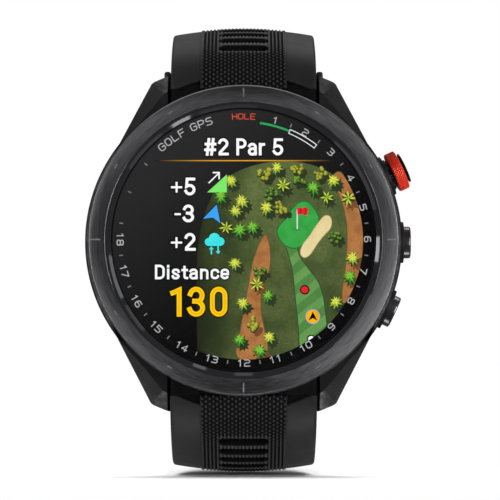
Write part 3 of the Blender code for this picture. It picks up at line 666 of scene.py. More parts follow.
GLYPHS = {
    "0": [[(1, 0), (3.2, 0), (4.2, 1), (4.2, 4), (3.2, 5), (1, 5), (0, 4), (0, 1), (1, 0)]],
    "1": [[(0.6, 4), (2, 5), (2, 0)]],
    "2": [[(0, 5), (3.2, 5), (4.2, 4.2), (4.2, 3.4), (3.3, 2.6), (1, 2.6), (0, 1.7), (0, 0), (4.2, 0)]],
    "3": [
        [(0, 5), (3.2, 5), (4.1, 4.3), (4.1, 3.4), (3.2, 2.6), (1.2, 2.6)],
        [(3.2, 2.6), (4.2, 1.8), (4.2, 0.8), (3.2, 0), (0, 0)],
    ],
    "4": [[(3.2, 0), (3.2, 5), (0, 1.4), (4.4, 1.4)]],
    "5": [[(4.2, 5), (0, 5), (0, 2.9), (3.2, 2.9), (4.2, 2.1), (4.2, 0.8), (3.2, 0), (0, 0)]],
    "6": [[(3.8, 5), (1, 5), (0, 4), (0, 1), (1, 0), (3.2, 0), (4.2, 0.8), (4.2, 2), (3.2, 2.8), (0, 2.8)]],
    "7": [[(0, 5), (4.2, 5), (1.4, 0)]],
    "8": [
        [(1, 0), (3.2, 0), (4.2, 0.8), (4.2, 1.8), (3.3, 2.6), (0.9, 2.6), (0, 1.8), (0, 0.8), (1, 0)],
        [(0.9, 2.6), (0.1, 3.4), (0.1, 4.3), (1, 5), (3.2, 5), (4.1, 4.3), (4.1, 3.4), (3.3, 2.6)],
    ],
    "9": [[(0.4, 0), (3.2, 0), (4.2, 1), (4.2, 4), (3.2, 5), (1, 5), (0, 4.2), (0, 3), (1, 2.2), (4.2, 2.2)]],
    "G": [[(4.2, 4.3), (3.3, 5), (1, 5), (0, 4), (0, 1), (1, 0), (3.3, 0), (4.2, 0.8), (4.2, 2.5), (2.3, 2.5)]],
    "L": [[(0, 5), (0, 0), (3.8, 0)]],
    "F": [[(0, 0), (0, 5), (4, 5)], [(0, 2.6), (3.4, 2.6)]],
    "P": [[(0, 0), (0, 5), (3.2, 5), (4.2, 4.2), (4.2, 3), (3.3, 2.1), (0, 2.1)]],
    "S": [[(4, 5), (1, 5), (0, 4.3), (0, 3.3), (0.9, 2.6), (3.3, 2.6), (4.2, 1.8), (4.2, 0.7), (3.2, 0), (0, 0)]],
    "H": [[(0, 0), (0, 5)], [(4.2, 0), (4.2, 5)], [(0, 2.6), (4.2, 2.6)]],
    "E": [[(4, 5), (0, 5), (0, 0), (4, 0)], [(0, 2.6), (3.5, 2.6)]],
}
GLYPHS["O"] = GLYPHS["0"]


def flat(bm, outline, height, finish, place=IDENTITY, limit=18.2):
    """A flat filled outline at a height, pulled inside the display's edge."""
    corners = []
    for x, y in outline:
        point = place @ Vector((x, y, 0))
        point.z = height
        reach = math.hypot(point.x, point.y)
        if reach > limit:
            point.x, point.y = point.x * limit / reach, point.y * limit / reach
        corners.append(bm.verts.new(point))
    face = bm.faces.new(corners)
    face.material_index = finish
    face.normal_update()
    if face.normal.z < 0:
        face.normal_flip()
    return face


def stroke(bm, points, width, height, finish, place=IDENTITY):
    """A ribbon of even width along a line of points, with mitred corners."""
    points = [Vector(p) for p in points]
    closed = (points[0] - points[-1]).length < 1e-6
    if closed:
        points = points[:-1]
    count = len(points)
    left, right = [], []
    for i, here in enumerate(points):
        before = points[i - 1] if i or closed else None
        after = points[(i + 1) % count] if i + 1 < count or closed else None
        back = (here - before).normalized() if before is not None else (after - here).normalized()
        ahead = (after - here).normalized() if after is not None else back
        normal = Vector((-back.y - ahead.y, back.x + ahead.x)).normalized()
        reach = width / 2 / max(normal.dot(Vector((-back.y, back.x))), 0.5)
        cap_back = back * (-width / 2 if before is None else 0)
        cap_ahead = ahead * (width / 2 if after is None else 0)
        left.append(here + normal * reach + cap_back + cap_ahead)
        right.append(here - normal * reach + cap_back + cap_ahead)
    for i in range(count if closed else count - 1):
        j = (i + 1) % count
        flat(bm, (left[i], right[i], right[j], left[j]), height, finish, place, 19.4)


def glyphs(bm, words, size, gap, place_of, height, finish, width):
    """Stroke letters of that height in millimetres. place_of(x) gives the frame of a point of the line."""
    unit = size / 5
    total = sum(gap if c == " " else 4.2 for c in words) + gap * (len(words) - 1)
    x = -total / 2
    for letter in words:
        if letter != " ":
            place = place_of((x + 2.1) * unit) @ Matrix.Scale(unit, 4) @ Matrix.Translation((-2.1, -2.5, 0))
            for line in GLYPHS[letter]:
                stroke(bm, line, width, height, finish, place)
        x += (gap if letter == " " else 4.2) + gap


def clock_place(degrees, radius):
    """A frame on a circle, clockwise from 12 o'clock, with Y outwards."""
    return Matrix.Rotation(-math.radians(degrees), 4, "Z") @ Matrix.Translation((0, radius, 0))


def arc_text(bm, words, size, gap, middle, radius, height, finish, width):
    def place_of(x):
        return clock_place(middle + math.degrees(x / radius), radius)

    glyphs(bm, words, size, gap, place_of, height, finish, width)


def bend(x, y, reach_x, reach_y, start, end, steps=10):
    """Points of an arc, by its centre, reaches and angles."""
    angles = [math.radians(start + (end - start) * k / steps) for k in range(steps + 1)]
    return [(x + reach_x * math.cos(a), y + reach_y * math.sin(a)) for a in angles]


# Bold condensed letters as centre lines, in units of the capitals' height: (width, lines)
LETTERS = {
    "0": (0.6, [[*bend(0.3, 0.69, 0.215, 0.225, 0, 180), *bend(0.3, 0.31, 0.215, 0.225, 180, 360), (0.515, 0.69)]]),
    "1": (0.42, [[(0.07, 0.79), (0.1, 0.8), (0.29, 0.885), (0.29, 0.085)]]),
    "2": (0.6, [[*bend(0.3, 0.69, 0.21, 0.225, 165, -32), (0.12, 0.17), (0.12, 0.085), (0.53, 0.085)]]),
    "3": (
        0.6,
        [
            [*bend(0.29, 0.7, 0.205, 0.215, 165, -62), (0.36, 0.515), (0.24, 0.515)],
            [(0.24, 0.515), (0.34, 0.51), *bend(0.29, 0.295, 0.225, 0.21, 60, -165)],
        ],
    ),
    "5": (0.6, [[(0.5, 0.915), (0.15, 0.915), (0.12, 0.5), *bend(0.29, 0.325, 0.225, 0.24, 118, -160)]]),
    "+": (0.7, [[(0.11, 0.46), (0.59, 0.46)], [(0.35, 0.22), (0.35, 0.7)]]),
    "-": (0.42, [[(0.1, 0.46), (0.32, 0.46)]]),
    "#": (
        0.72,
        [
            [(0.19, 0.07), (0.28, 0.93)], [(0.43, 0.07), (0.52, 0.93)], [(0.1, 0.33), (0.6, 0.33)],
            [(0.12, 0.66), (0.62, 0.66)],
        ],
    ),
    "P": (0.6, [[(0.1, 0.085), (0.1, 0.915), (0.3, 0.915), *bend(0.31, 0.7, 0.2, 0.215, 90, -90), (0.1, 0.485)]]),
    "D": (0.62, [[
        (0.1, 0.085), (0.1, 0.915), *bend(0.28, 0.66, 0.235, 0.255, 90, 0), *bend(0.28, 0.34, 0.235, 0.255, 0, -90),
        (0.1, 0.085),
    ]]),
    "a": (
        0.54,
        [
            [*bend(0.255, 0.5, 0.17, 0.155, 160, 0), (0.425, 0.085)],
            [(0.425, 0.4), (0.3, 0.4), *bend(0.25, 0.23, 0.165, 0.16, 100, 290), (0.425, 0.16)],
        ],
    ),
    "r": (0.38, [[(0.1, 0.085), (0.1, 0.65)], [(0.1, 0.45), *bend(0.28, 0.47, 0.17, 0.175, 175, 85, 6)]]),
    "i": (0.22, [[(0.1, 0.085), (0.1, 0.65)], [(0.1, 0.88), (0.1, 0.9)]]),
    "s": (
        0.5,
        [
            [
                (0.41, 0.52), (0.39, 0.6), (0.31, 0.65), (0.2, 0.65), (0.12, 0.6), (0.1, 0.51), (0.14, 0.43),
                (0.36, 0.3), (0.41, 0.22), (0.38, 0.13), (0.3, 0.08), (0.19, 0.08), (0.11, 0.13), (0.09, 0.21),
            ]
        ],
    ),
    "t": (0.38, [[(0.19, 0.84), (0.19, 0.2), (0.22, 0.11), (0.33, 0.09)], [(0.08, 0.63), (0.32, 0.63)]]),
    "n": (
        0.54,
        [[(0.1, 0.085), (0.1, 0.65)], [(0.1, 0.46), *bend(0.27, 0.48, 0.165, 0.165, 175, 0, 8), (0.435, 0.085)]],
    ),
    "c": (0.5, [[*bend(0.27, 0.48, 0.175, 0.165, 12, 180), *bend(0.27, 0.25, 0.175, 0.165, 180, 348)]]),
    "e": (0.53, [[
        (0.12, 0.36), (0.44, 0.36), *bend(0.27, 0.49, 0.172, 0.16, 0, 180),
        *bend(0.27, 0.245, 0.172, 0.16, 180, 325)
    ]]),
    " ": (0.3, []),
}
LETTER_GAP, BOLD = 0.05, 0.162


def sentence(bm, text, cap, span, x, y, height, finish, halo, weight=BOLD):
    """Bold words from x leftwards: cap is the capitals' height and span the whole width. A halo lies under them."""
    gap = LETTER_GAP * (3.2 if cap > 4 else 1.0)
    natural = sum(LETTERS[letter][0] for letter in text) + gap * (len(text) - 1)
    wide = span / natural
    at = x - span
    for letter in text:
        width, lines = LETTERS[letter]
        for number, line in enumerate(lines):
            points = [(at + px * wide, y + py * cap) for px, py in line]
            stroke(bm, points, BOLD * cap + 0.34, height, halo)
            heavy = weight * (0.72 if letter in "+-" else 1.0)
            stroke(bm, points, heavy * cap, height + 0.01 + 0.0005 * number, finish)
        at += (width + gap) * wide


def circle(x, y, radius, steps=20, squash=1.0):
    angles = [math.tau * k / steps for k in range(steps)]
    return [(x + radius * math.cos(a), y + squash * radius * math.sin(a)) for a in angles]


def smooth_outline(points, rounds=3, closed=True):
    """Corner cutting: each round replaces a corner by two points."""
    points = [Vector(p) for p in points]
    for _ in range(rounds):
        made = []
        pairs = list(zip(points, points[1:] + points[:1])) if closed else list(zip(points, points[1:]))
        if not closed:
            made.append(points[0])
        for here, there in pairs:
            made += [here.lerp(there, 0.25), here.lerp(there, 0.75)]
        if not closed:
            made.append(points[-1])
        points = made
    return [(p.x, p.y) for p in points]


def blade(bm, x, y, angle, length, width, height, finish):
    """One pointed leaf from a plant's middle."""
    ahead = Vector((math.cos(angle), math.sin(angle)))
    side = Vector((-ahead.y, ahead.x)) * width / 2
    base = Vector((x, y))
    flat(
        bm, (base, base + ahead * length * 0.45 - side, base + ahead * length, base + ahead * length * 0.45 + side),
        height, finish,
    )


def plant(bm, x, y, size, kind, tones, shadow, rng, layer):
    """A palm, a rosette or a bush seen from above, with its shadow on the ground to the lower right."""
    spin = rng.uniform(0, math.tau)
    drop = size * 0.62
    sx, sy = x + drop * 0.8, y - drop * 1.15
    dark, low, high = tones
    if kind == "palm":
        for k in range(8):
            angle = spin + math.tau * k / 8 + rng.uniform(-0.12, 0.12)
            blade(bm, sx, sy, angle, size * 1.0, size * 0.42, layer, shadow)
            blade(bm, x, y - 0.12 * size, angle + 0.35, size * 0.92, size * 0.34, layer + 0.004 + 0.0004 * k, dark)
        for k in range(7):
            angle = spin + math.tau * k / 7 + rng.uniform(-0.15, 0.15)
            blade(bm, x, y, angle, size * rng.uniform(0.8, 1.05), size * 0.26, layer + 0.01 + 0.0004 * k, high)
            blade(bm, x, y, angle + 0.14, size * 0.7, size * 0.11, layer + 0.014 + 0.0002 * k, low)
    elif kind == "rosette":
        for k in range(9):
            angle = spin + math.tau * k / 9
            blade(bm, sx, sy, angle, size * rng.uniform(0.85, 1.1), size * 0.6, layer + 0.0003 * k, shadow)
        tiers = (
            (9, 0.05, -0.3, 1.05, 0.34, 0.004, dark), (9, 0.0, -0.08, 1.0, 0.3, 0.009, low),
            (8, -0.04, 0.08, 0.72, 0.2, 0.014, high),
        )
        for count, dx, dy, reach, width, up, finish in tiers:
            for k in range(count):
                angle = spin + math.tau * (k + 7 * up * 10) / count + rng.uniform(-0.15, 0.15)
                long = size * reach * rng.uniform(0.78, 1.1)
                blade(bm, x + dx * size, y + dy * size, angle, long, size * width, layer + up + 0.0004 * k, finish)
    else:
        spots = [(0.0, 0.0)]
        while len(spots) < 12:
            turn, reach = rng.uniform(0, math.tau), rng.uniform(0.35, 0.85)
            spots.append((reach * math.cos(turn), reach * math.sin(turn)))
        for number, (dx, dy) in enumerate(spots):
            px, py = x + dx * size, y + dy * size
            round_size = size * rng.uniform(0.2, 0.3)
            flat(
                bm, circle(sx + dx * size, sy + dy * size * 0.8, round_size * 1.2, 10), layer + 0.0003 * number,
                shadow,
            )
            flat(bm, circle(px + 0.05, py - 0.14 * size, round_size * 1.1, 9), layer + 0.004 + 0.0004 * number, dark)
            flat(bm, circle(px, py, round_size, 9), layer + 0.0095 + 0.0004 * number, low)
            flat(
                bm, circle(px - 0.03 * size, py + 0.06 * size, round_size * 0.55, 8),
                layer + 0.0145 + 0.0003 * number, high,
            )


def make_display():
    """The cover glass, dark on its side, over the layers of the picture."""
    low, high, edge = 12.0, 13.1, 0.12
    outline = [(0, low), (LENS_RADIUS, low), (LENS_RADIUS, high - edge), (LENS_RADIUS - edge, high), (0, high)]
    side_from = LENS_RADIUS - edge * 1.2
    lens = turned(capped(outline, 0.05), 160, finish_of=lambda radius, height: int(radius > side_from))
    lens = stand_in("display_lens", lens, [LENS_GLASS, LENS_EDGE], smooth=40.0)
    lens.visible_shadow = False
    make_picture()
    make_map()
    make_readings()
    make_ring_print()


def make_picture():
    """The dark ground of the picture and the glass's border, with a painted reflection: a faint grey sheen that glows
    at the upper left.
    """
    ground = glowing("picture_ground_painted_reflection")
    parts = ground.axes()
    # painted reflection: the glow grows lighter towards the upper left, broken up by a noise
    slope = ground.math("SUBTRACT", parts[2], ground.math("MULTIPLY", parts[0], 0.75))
    cloud = ground.math("MULTIPLY", ground.noise(9.0, 3.0), 0.004)
    share = ground.spread(ground.math("ADD", slope, cloud), 0.0, 1.0, -0.006, 0.026)
    ground.set("Emission Color", ground.blend(share, rgb(2, 2, 2), rgb(40, 40, 41)))
    bm = bmesh.new()
    flat(bm, circle(0, 0, 18.1, 96), LAYER, 0)
    rim = bmesh.new()
    inner, outer = circle(0, 0, DISPLAY_RADIUS, 160), circle(0, 0, 19.66, 160)
    for k in range(160):
        j = (k + 1) % 160
        flat(rim, (outer[k], outer[j], inner[j], inner[k]), 11.93, 0, limit=20)
    piece("display_ground", bm, ground.material, "watch_head")
    piece("glass_border", rim, ground.material, "watch_head")


def make_map():
    """A hole of a golf course of no real place: rough, sand paths, fairway, green, bunker and plants."""
    grass = glowing("map_grass")
    parts = grass.axes()
    shade = grass.blend(grass.spread(grass.noise(5.0, 4.0), 0.0, 1.0), rgb(70, 86, 46), rgb(104, 118, 66))
    shade = grass.blend(grass.spread(grass.noise(0.35, 2.0), 0.0, 0.4), shade, rgb(58, 76, 38))
    fade = grass.spread(parts[0], 0.12, 1.0, -0.0075, 0.001)
    lift = grass.spread(parts[2], 0.75, 1.0, -0.014, 0.008)
    share = grass.math("MULTIPLY", fade, lift)
    grass.set("Emission Color", grass.blend(share, rgb(10, 12, 8), shade))
    finishes = [
        grass.material,
        lit("map_sand_path", rgb(158, 102, 56), rgb(184, 126, 72), speck=0.2),
        lit("map_path_edge", rgb(96, 84, 40), rgb(112, 92, 48)),
        lit("map_fairway_light", rgb(98, 150, 78), rgb(108, 160, 86), speck=0.15),
        lit("map_fairway_dark", rgb(78, 130, 62), rgb(86, 138, 70), speck=0.15),
        lit("map_fairway_edge", rgb(44, 82, 42), rgb(52, 92, 48)),
        lit("map_green", rgb(52, 158, 66), rgb(62, 172, 76), speck=0.2),
        lit("map_green_edge", rgb(28, 108, 50), rgb(34, 118, 54)),
        lit("map_bunker", rgb(228, 208, 150), rgb(238, 220, 168), speck=0.15),
        lit("map_bunker_edge", rgb(190, 160, 100), rgb(200, 172, 112)),
    ]
    bm = bmesh.new()
    left = [
        (-6.9, -16.5), (-7.0, -9), (-7.0, -3), (-6.6, 1.2), (-5.4, 5.2), (-4.0, 8.2), (-1.2, 10.3), (2.4, 11.5),
        (5.6, 11.9), (8.8, 11.7), (11.4, 10.9), (13.6, 9.7), (15.0, 8.4),
    ]
    around = bend(0, 0, 18.2, 18.2, 26, -110, 34)
    flat(bm, smooth_outline(left, 2, closed=False) + around, LAYER + 0.01, 0)
    path_left = [
        (3.3, 1.2), (3.9, -0.8), (4.0, -4.2), (2.7, -7.0), (2.4, -9.8), (3.0, -13.2), (3.9, -17.6), (-1.4, -18.0),
        (-0.6, -14.4), (0.1, -10.4), (0.8, -6.6), (1.3, -3.6), (2.2, -0.8),
    ]
    path_right = [
        (13.2, 9.6), (14.6, 10.6), (18.5, 6), (18.5, -8), (15.0, -10.6), (14.6, -8.2), (15.3, -4.2), (15.6, 1.0),
        (15.1, 5.0), (14.0, 7.6),
    ]
    for path in (path_left, path_right):
        outline = smooth_outline(path, 3)
        flat(bm, inset_outline(outline, -0.14), LAYER + 0.02, 2)
        flat(bm, outline, LAYER + 0.024, 1)
    fairway = [
        (6.2, -0.6), (7.9, -0.6), (8.1, -2.2), (9.3, -3.9), (11.1, -6.1), (11.8, -8.3), (12.1, -10.6),
        (12.4, -13.6), (12.0, -16.5), (8.4, -17.2), (8.2, -12.4), (7.8, -9.0), (7.5, -5.6), (7.1, -3.2),
    ]
    outline = smooth_outline(fairway, 2)
    flat(bm, inset_outline(outline, -0.16), LAYER + 0.03, 5)
    make_stripes(bm, outline)
    green = [
        (8.5, 6.0), (9.9, 5.8), (11.3, 3.8), (11.4, 2.4), (10.4, 0.9), (9.2, -0.6), (7.6, -1.5), (5.9, -0.8),
        (4.8, 0.9), (5.1, 2.2), (6.3, 3.2), (7.1, 4.8),
    ]
    outline = smooth_outline(green, 3)
    flat(bm, outline, LAYER + 0.042, 7)
    flat(bm, inset_outline(outline, 0.16), LAYER + 0.046, 6)
    bunker = [
        (12.1, 3.8), (13.1, 3.5), (13.1, 1.9), (12.0, 0.8), (11.0, -0.4), (10.0, -2.1), (9.1, -2.7), (8.4, -2.1),
        (8.7, -0.8), (9.8, 0.5), (11.0, 2.4),
    ]
    outline = smooth_outline(bunker, 3)
    flat(bm, inset_outline(outline, -0.08), LAYER + 0.05, 9)
    flat(bm, outline, LAYER + 0.054, 8)
    bmesh.ops.triangulate(bm, faces=bm.faces)
    piece("display_map", bm, finishes, "watch_head")
    make_plants()


def make_stripes(bm, outline):
    """Mowing stripes: the fairway's outline cut by slanting lines, in two shades by turns."""
    shape = bmesh.new()
    flat(shape, outline, 0.0, 3)
    bmesh.ops.triangulate(shape, faces=shape.faces)
    across = Vector((-0.62, 0.78, 0)).normalized()
    step = 1.25
    for k in range(-24, 10):
        geometry = shape.verts[:] + shape.edges[:] + shape.faces[:]
        bmesh.ops.bisect_plane(shape, geom=geometry, plane_co=across * k * step, plane_no=across)
    for face in shape.faces:
        row = math.floor(face.calc_center_median().dot(across) / step)
        face.material_index = 4 if row % 2 else 3
    for vert in shape.verts:
        vert.co.z = LAYER + 0.034
    shape.normal_update()
    for face in shape.faces:
        if face.normal.z < 0:
            face.normal_flip()
    join(bm, shape)


def make_plants():
    yellow = (rgb(22, 62, 34), rgb(150, 170, 52), rgb(222, 226, 84))
    palm = (rgb(18, 46, 22), rgb(120, 150, 40), rgb(206, 222, 74))
    leafy = (rgb(12, 62, 22), rgb(72, 140, 40), rgb(128, 196, 62))
    olive = (rgb(40, 46, 18), rgb(128, 132, 40), rgb(176, 176, 62))
    bushy = (rgb(22, 38, 18), rgb(64, 96, 34), rgb(110, 150, 56))
    kinds = {
        "y": ("rosette", yellow),
        "g": ("rosette", leafy),
        "p": ("palm", palm),
        "o": ("bush", olive),
        "b": ("bush", bushy),
    }
    where = (
        ("y", -1.9, 8.9), ("g", -3.4, 6.6), ("y", -1.2, 4.4), ("p", -2.6, 1.9), ("g", -0.6, 1.6),
        ("o", 3.2, 10.2), ("y", 5.0, 10.9), ("o", 8.0, 10.7), ("b", 8.2, 8.9), ("p", 5.9, 8.2),
        ("b", 4.1, 6.9), ("y", 3.4, 4.9), ("o", 5.6, 4.9), ("g", 10.4, 7.9), ("o", 11.6, 9.9),
        ("y", 13.4, 9.0), ("p", 12.4, 6.4), ("g", 1.3, 2.0), ("y", -0.3, 5.9), ("b", 13.6, 0.6),
        ("b", 2.4, -4.6), ("p", 2.0, -6.6), ("g", 3.6, -8.2), ("y", -0.1, -9.4), ("o", 1.4, -12.4),
        ("y", 3.8, -14.4), ("g", -0.6, -14.8), ("y", -1.3, -3.4), ("g", 2.4, -16.4),
        ("p", 15.6, 6.3), ("y", 16.2, -2.6), ("g", 15.8, -5.4), ("y", 13.7, -9.2),
    )
    finishes, index = [], {}
    for key, (_, tones) in kinds.items():
        index[key] = tuple(range(len(finishes), len(finishes) + 3))
        finishes += [lit(f"plant_{key}_{n}", tone, size=0.5, speck=0.1) for n, tone in enumerate(tones)]
    on_grass, on_sand = len(finishes), len(finishes) + 1
    finishes += [lit("plant_shadow", rgb(46, 54, 32)), lit("plant_shadow_sand", rgb(112, 72, 42))]
    rng = random.Random(7)
    bm = bmesh.new()
    for number, (key, x, y) in enumerate(where):
        sandy = (0.4 < x < 3.2 and y < -5.5) or x > 14.8
        shadow = on_sand if sandy else on_grass
        size = rng.uniform(1.06, 1.26)
        plant(bm, x, y, size, kinds[key][0], index[key], shadow, rng, LAYER + 0.06 + 0.0008 * number)
    piece("display_plants", bm, finishes, "watch_head")


def make_readings():
    """Words, numbers and signs on the display. The wording is generic."""
    gold = glowing("reading_gold_line")
    parts = gold.axes()
    middle = gold.math("ABSOLUTE", parts[0])
    share = gold.math(
        "MULTIPLY", gold.spread(middle, 1.0, 0.0, 0.004, 0.013), gold.spread(gold.noise(2.0), 0.92, 1.0),
    )
    gold.set("Emission Color", gold.blend(share, rgb(20, 18, 14), rgb(236, 164, 20)))
    finishes = [
        lit("reading_white", rgb(250, 250, 250), rgb(255, 255, 255)),
        lit("reading_black", rgb(1, 1, 1), rgb(3, 3, 3)),
        gold.material,
        lit("reading_amber", rgb(255, 202, 4), rgb(255, 212, 10), size=0.9),
        lit("sign_green", rgb(122, 232, 104), rgb(130, 240, 112)),
        lit("sign_blue", rgb(56, 158, 246), rgb(64, 166, 252)),
        lit("sign_cyan", rgb(60, 226, 226), rgb(72, 234, 234)),
        lit("sign_red", rgb(226, 26, 40), rgb(240, 36, 48)),
        lit("sign_flag_shade", rgb(176, 20, 34), rgb(190, 24, 38)),
        lit("sign_amber_disc", rgb(240, 168, 16), rgb(255, 196, 24)),
        lit("sign_pole", rgb(214, 214, 214), rgb(232, 232, 232)),
    ]
    bm = bmesh.new()
    top = LAYER + 0.1
    readings = (
        ("#2 Par 5", 2.6, 11.9, 5.95, 12.68, 0),
        ("+5", 2.7, 3.85, -7.15, 6.68, 0),
        ("-3", 2.7, 3.1, -7.35, 2.65, 0),
        ("+2", 2.7, 3.85, -7.15, -1.6, 0),
        ("Distance", 2.2, 11.2, -2.1, -5.85, 0),
        ("130", 4.5, 8.45, -2.4, -11.42, 3),
    )
    for text, cap, span, x, y, finish in readings:
        sentence(bm, text, cap, span, x, y, top + 0.01, finish, 1)
    finishes.append(lit("reading_amber_core", rgb(250, 178, 2), rgb(254, 190, 4)))
    sentence(bm, *readings[-1][:5], top + 0.013, len(finishes) - 1, 1, weight=0.05)
    rule = [(-13.4, 11.83), (13.2, 11.83), (13.2, 12.0), (-13.4, 12.0)]
    flat(bm, rule, top - 0.01, 2)
    slope = [(-5.45, 7.15), (-2.5, 7.15), (-2.5, 9.85)]
    flat(bm, slope, top + 0.01, 4)
    stroke(bm, [(-5.15, 8.6), (-3.75, 9.98)], 0.2, top + 0.012, 0)
    stroke(bm, [(-4.5, 10.12), (-3.66, 10.12), (-3.66, 9.25)], 0.22, top + 0.013, 0)
    arrow = [(-4.02, 5.35), (-3.45, 2.5), (-4.6, 3.38), (-6.05, 3.2)]
    flat(bm, inset_outline(arrow, -0.12), top + 0.006, 1)
    flat(bm, arrow, top + 0.01, 5)
    cloud = bmesh.new()
    for grow, finish, height in ((0.1, 1, 0.004), (0.0, 6, 0.01)):
        for n, (x, y, r) in enumerate((
            (-4.35, 0.24, 0.85), (-5.2, -0.26, 0.6), (-3.5, -0.21, 0.66), (-4.35, -0.31, 0.6),
        )):
            flat(cloud, circle(x, y, r + grow, 24), top + height + 0.0004 * n, finish)
        base = [(-5.25, -0.87 - grow), (-3.45, -0.87 - grow), (-3.3, -0.31), (-5.4, -0.31)]
        flat(cloud, base, top + height + 0.002, finish)
    join(bm, cloud)
    for x, foot, tip in ((-4.8, -2.0, -1.25), (-3.8, -0.85, -1.75)):
        way = 1 if tip > foot else -1
        stroke(bm, [(x, foot), (x, tip - way * 0.2)], 0.24, top + 0.014, 6)
        flat(bm, [(x - 0.38, tip - way * 0.12), (x + 0.38, tip - way * 0.12), (x, tip + way * 0.35)], top + 0.016, 6)
    stroke(bm, [(8.0, 1.7), (8.0, 4.5)], 0.2, top - 0.004, 10)
    flat(bm, circle(8.0, 1.65, 0.24, 14, 0.6), top - 0.006, 1)
    flag = [
        (7.95, 4.95), (8.6, 4.75), (9.2, 4.95), (9.75, 4.65), (9.5, 4.2), (9.55, 3.75), (9.1, 3.7), (8.6, 3.95),
        (8.05, 3.75),
    ]
    flat(bm, flag, top, 7)
    flat(bm, [(8.35, 4.85), (8.7, 4.78), (8.66, 3.93), (8.38, 3.85)], top + 0.003, 8)
    flat(bm, [(9.15, 4.9), (9.4, 4.84), (9.25, 3.74), (9.1, 3.72)], top + 0.003, 8)
    flat(bm, circle(9.1, -7.4, 0.72, 28), top - 0.004, 1)
    flat(bm, circle(9.1, -7.4, 0.53, 28), top, 7)
    flat(bm, circle(10.3, -11.4, 1.12, 32), top - 0.004, 5)
    flat(bm, circle(10.3, -11.4, 1.05, 32), top, 9)
    here = [(10.3, -10.65), (10.95, -12.0), (10.3, -11.62), (9.65, -12.0)]
    flat(bm, here, top + 0.004, 1)
    flat(bm, circle(10.05, -14.75, 0.66, 24), top - 0.004, 1)
    flat(bm, circle(10.05, -14.75, 0.47, 24), top, 0)
    bmesh.ops.triangulate(bm, faces=bm.faces)
    piece("display_readings", bm, finishes, "watch_head")


def make_ring_print():
    """Hole numbers and ticks printed round the glass, with a generic name and word, and the progress arcs. The print
    glows with painted light, giving off its lit colour as its own.
    """
    # painted light: the print on the glass glows in place of being lit by the lamps
    finishes = [
        lit("print_white_painted_light", rgb(176, 176, 178), rgb(196, 196, 198)),
        lit("print_red_painted_light", rgb(226, 84, 52), rgb(236, 92, 60)),
        lit("arc_green", rgb(36, 158, 84), rgb(44, 172, 92)),
        lit("arc_white", rgb(232, 232, 232), rgb(245, 245, 245)),
        lit("print_tick_painted_light", rgb(120, 120, 122), rgb(140, 140, 142)),
    ]
    bm = bmesh.new()
    height, step = 11.95, 15.0
    for number in range(1, 19):
        if number < 9:
            arc_text(bm, str(number), 0.9, 1.35, step * number, PRINT_RADIUS, height, 0, 0.8)
        else:
            place = clock_place(step * number, PRINT_RADIUS) @ Matrix.Rotation(math.pi, 4, "Z")
            glyphs(bm, str(number), 0.9, 1.35, lambda x, p=place: p @ Matrix.Translation((x, 0, 0)), height, 0, 0.8)
    for k in range(24):
        degrees = step * (k + 0.5)
        if 8 < degrees < 312:
            stroke(bm, [(0, -0.2), (0, 0.2)], 0.16, height, 4, clock_place(degrees, PRINT_RADIUS))
    arc_text(bm, "GOLF GPS", 1.0, 1.9, -29.0, PRINT_RADIUS, height, 0, 0.72)
    arc_text(bm, "HOLE", 0.8, 1.5, 0.0, PRINT_RADIUS, height, 1, 0.66)
    for start, end, radius, width, finish in (
        (8.4, 22.0, 17.58, 0.32, 2), (22.9, 37.6, 17.24, 0.13, 3), (22.9, 37.6, 17.84, 0.13, 3),
    ):
        line = []
        for k in range(25):
            angle = math.radians(start + (end - start) * k / 24)
            line.append((radius * math.sin(angle), radius * math.cos(angle)))
        stroke(bm, line, width, height - 0.01, finish)
    for degrees in (22.9, 37.6):
        stroke(bm, [(0, -0.3), (0, 0.3)], 0.13, height - 0.008, 3, clock_place(degrees, 17.54))
    bmesh.ops.translate(bm, vec=(0.03, PRINT_LIFT, 0), verts=bm.verts)
    piece("display_ring_print", bm, finishes, "watch_head")


# ---------------------------------------------------------------- buttons


def make_buttons():
    for name, angle in BUTTON_ANGLES.items():
        axis = button_axis(angle)
        guard = (
            (1.2, 19.0), (2.3, 19.0), (2.3, 22.3), (3.1, 22.3), (3.1, 24.1), (2.7, 24.1),
            (2.7, 22.8), (1.9, 22.8), (1.9, 20.7), (1.2, 20.7),
        )
        stand_in(f"{name}_button_guard", turned(fillet(guard, 0.16), 72, axis), GUARD)
        clip = fillet(((1.2, 18.0), (1.8, 18.0), (1.8, 18.6), (1.2, 18.6)), 0.08, 2)
        stand_in(f"{name}_button_clip", turned(clip, 32, axis), SPRING)
        make_spring(name, axis)
    for name in ("middle", "lower"):
        head = ((0, 17.8), (0.9, 17.8), (0.9, 23.4), (2.4, 23.4), (2.4, 25.15), (1.7, 25.15))
        profile = [*fillet(head, 0.3, 4, closed=False), (0, 25.15)]
        stand_in(f"{name}_button", turned(profile, 96, button_axis(BUTTON_ANGLES[name])), BUTTON)
    make_red_button()


def make_spring(name, axis):
    """The return coil."""
    turns, per_turn, radius, wire = 3.0, 28, 1.4, 0.17
    low, high = 21.0 + wire, 22.85 - wire
    steps = int(turns * per_turn)
    sections = []
    for i in range(steps + 1):
        angle = math.tau * i / per_turn
        out = Vector((math.cos(angle), math.sin(angle), 0))
        centre = out * radius + Vector((0, 0, low + (high - low) * i / steps))
        sections.append([axis @ (centre + out * x + Vector((0, 0, z))) for x, z in circle(0, 0, wire, 10)])
    stand_in(f"{name}_button_spring", lofted(sections), SPRING)


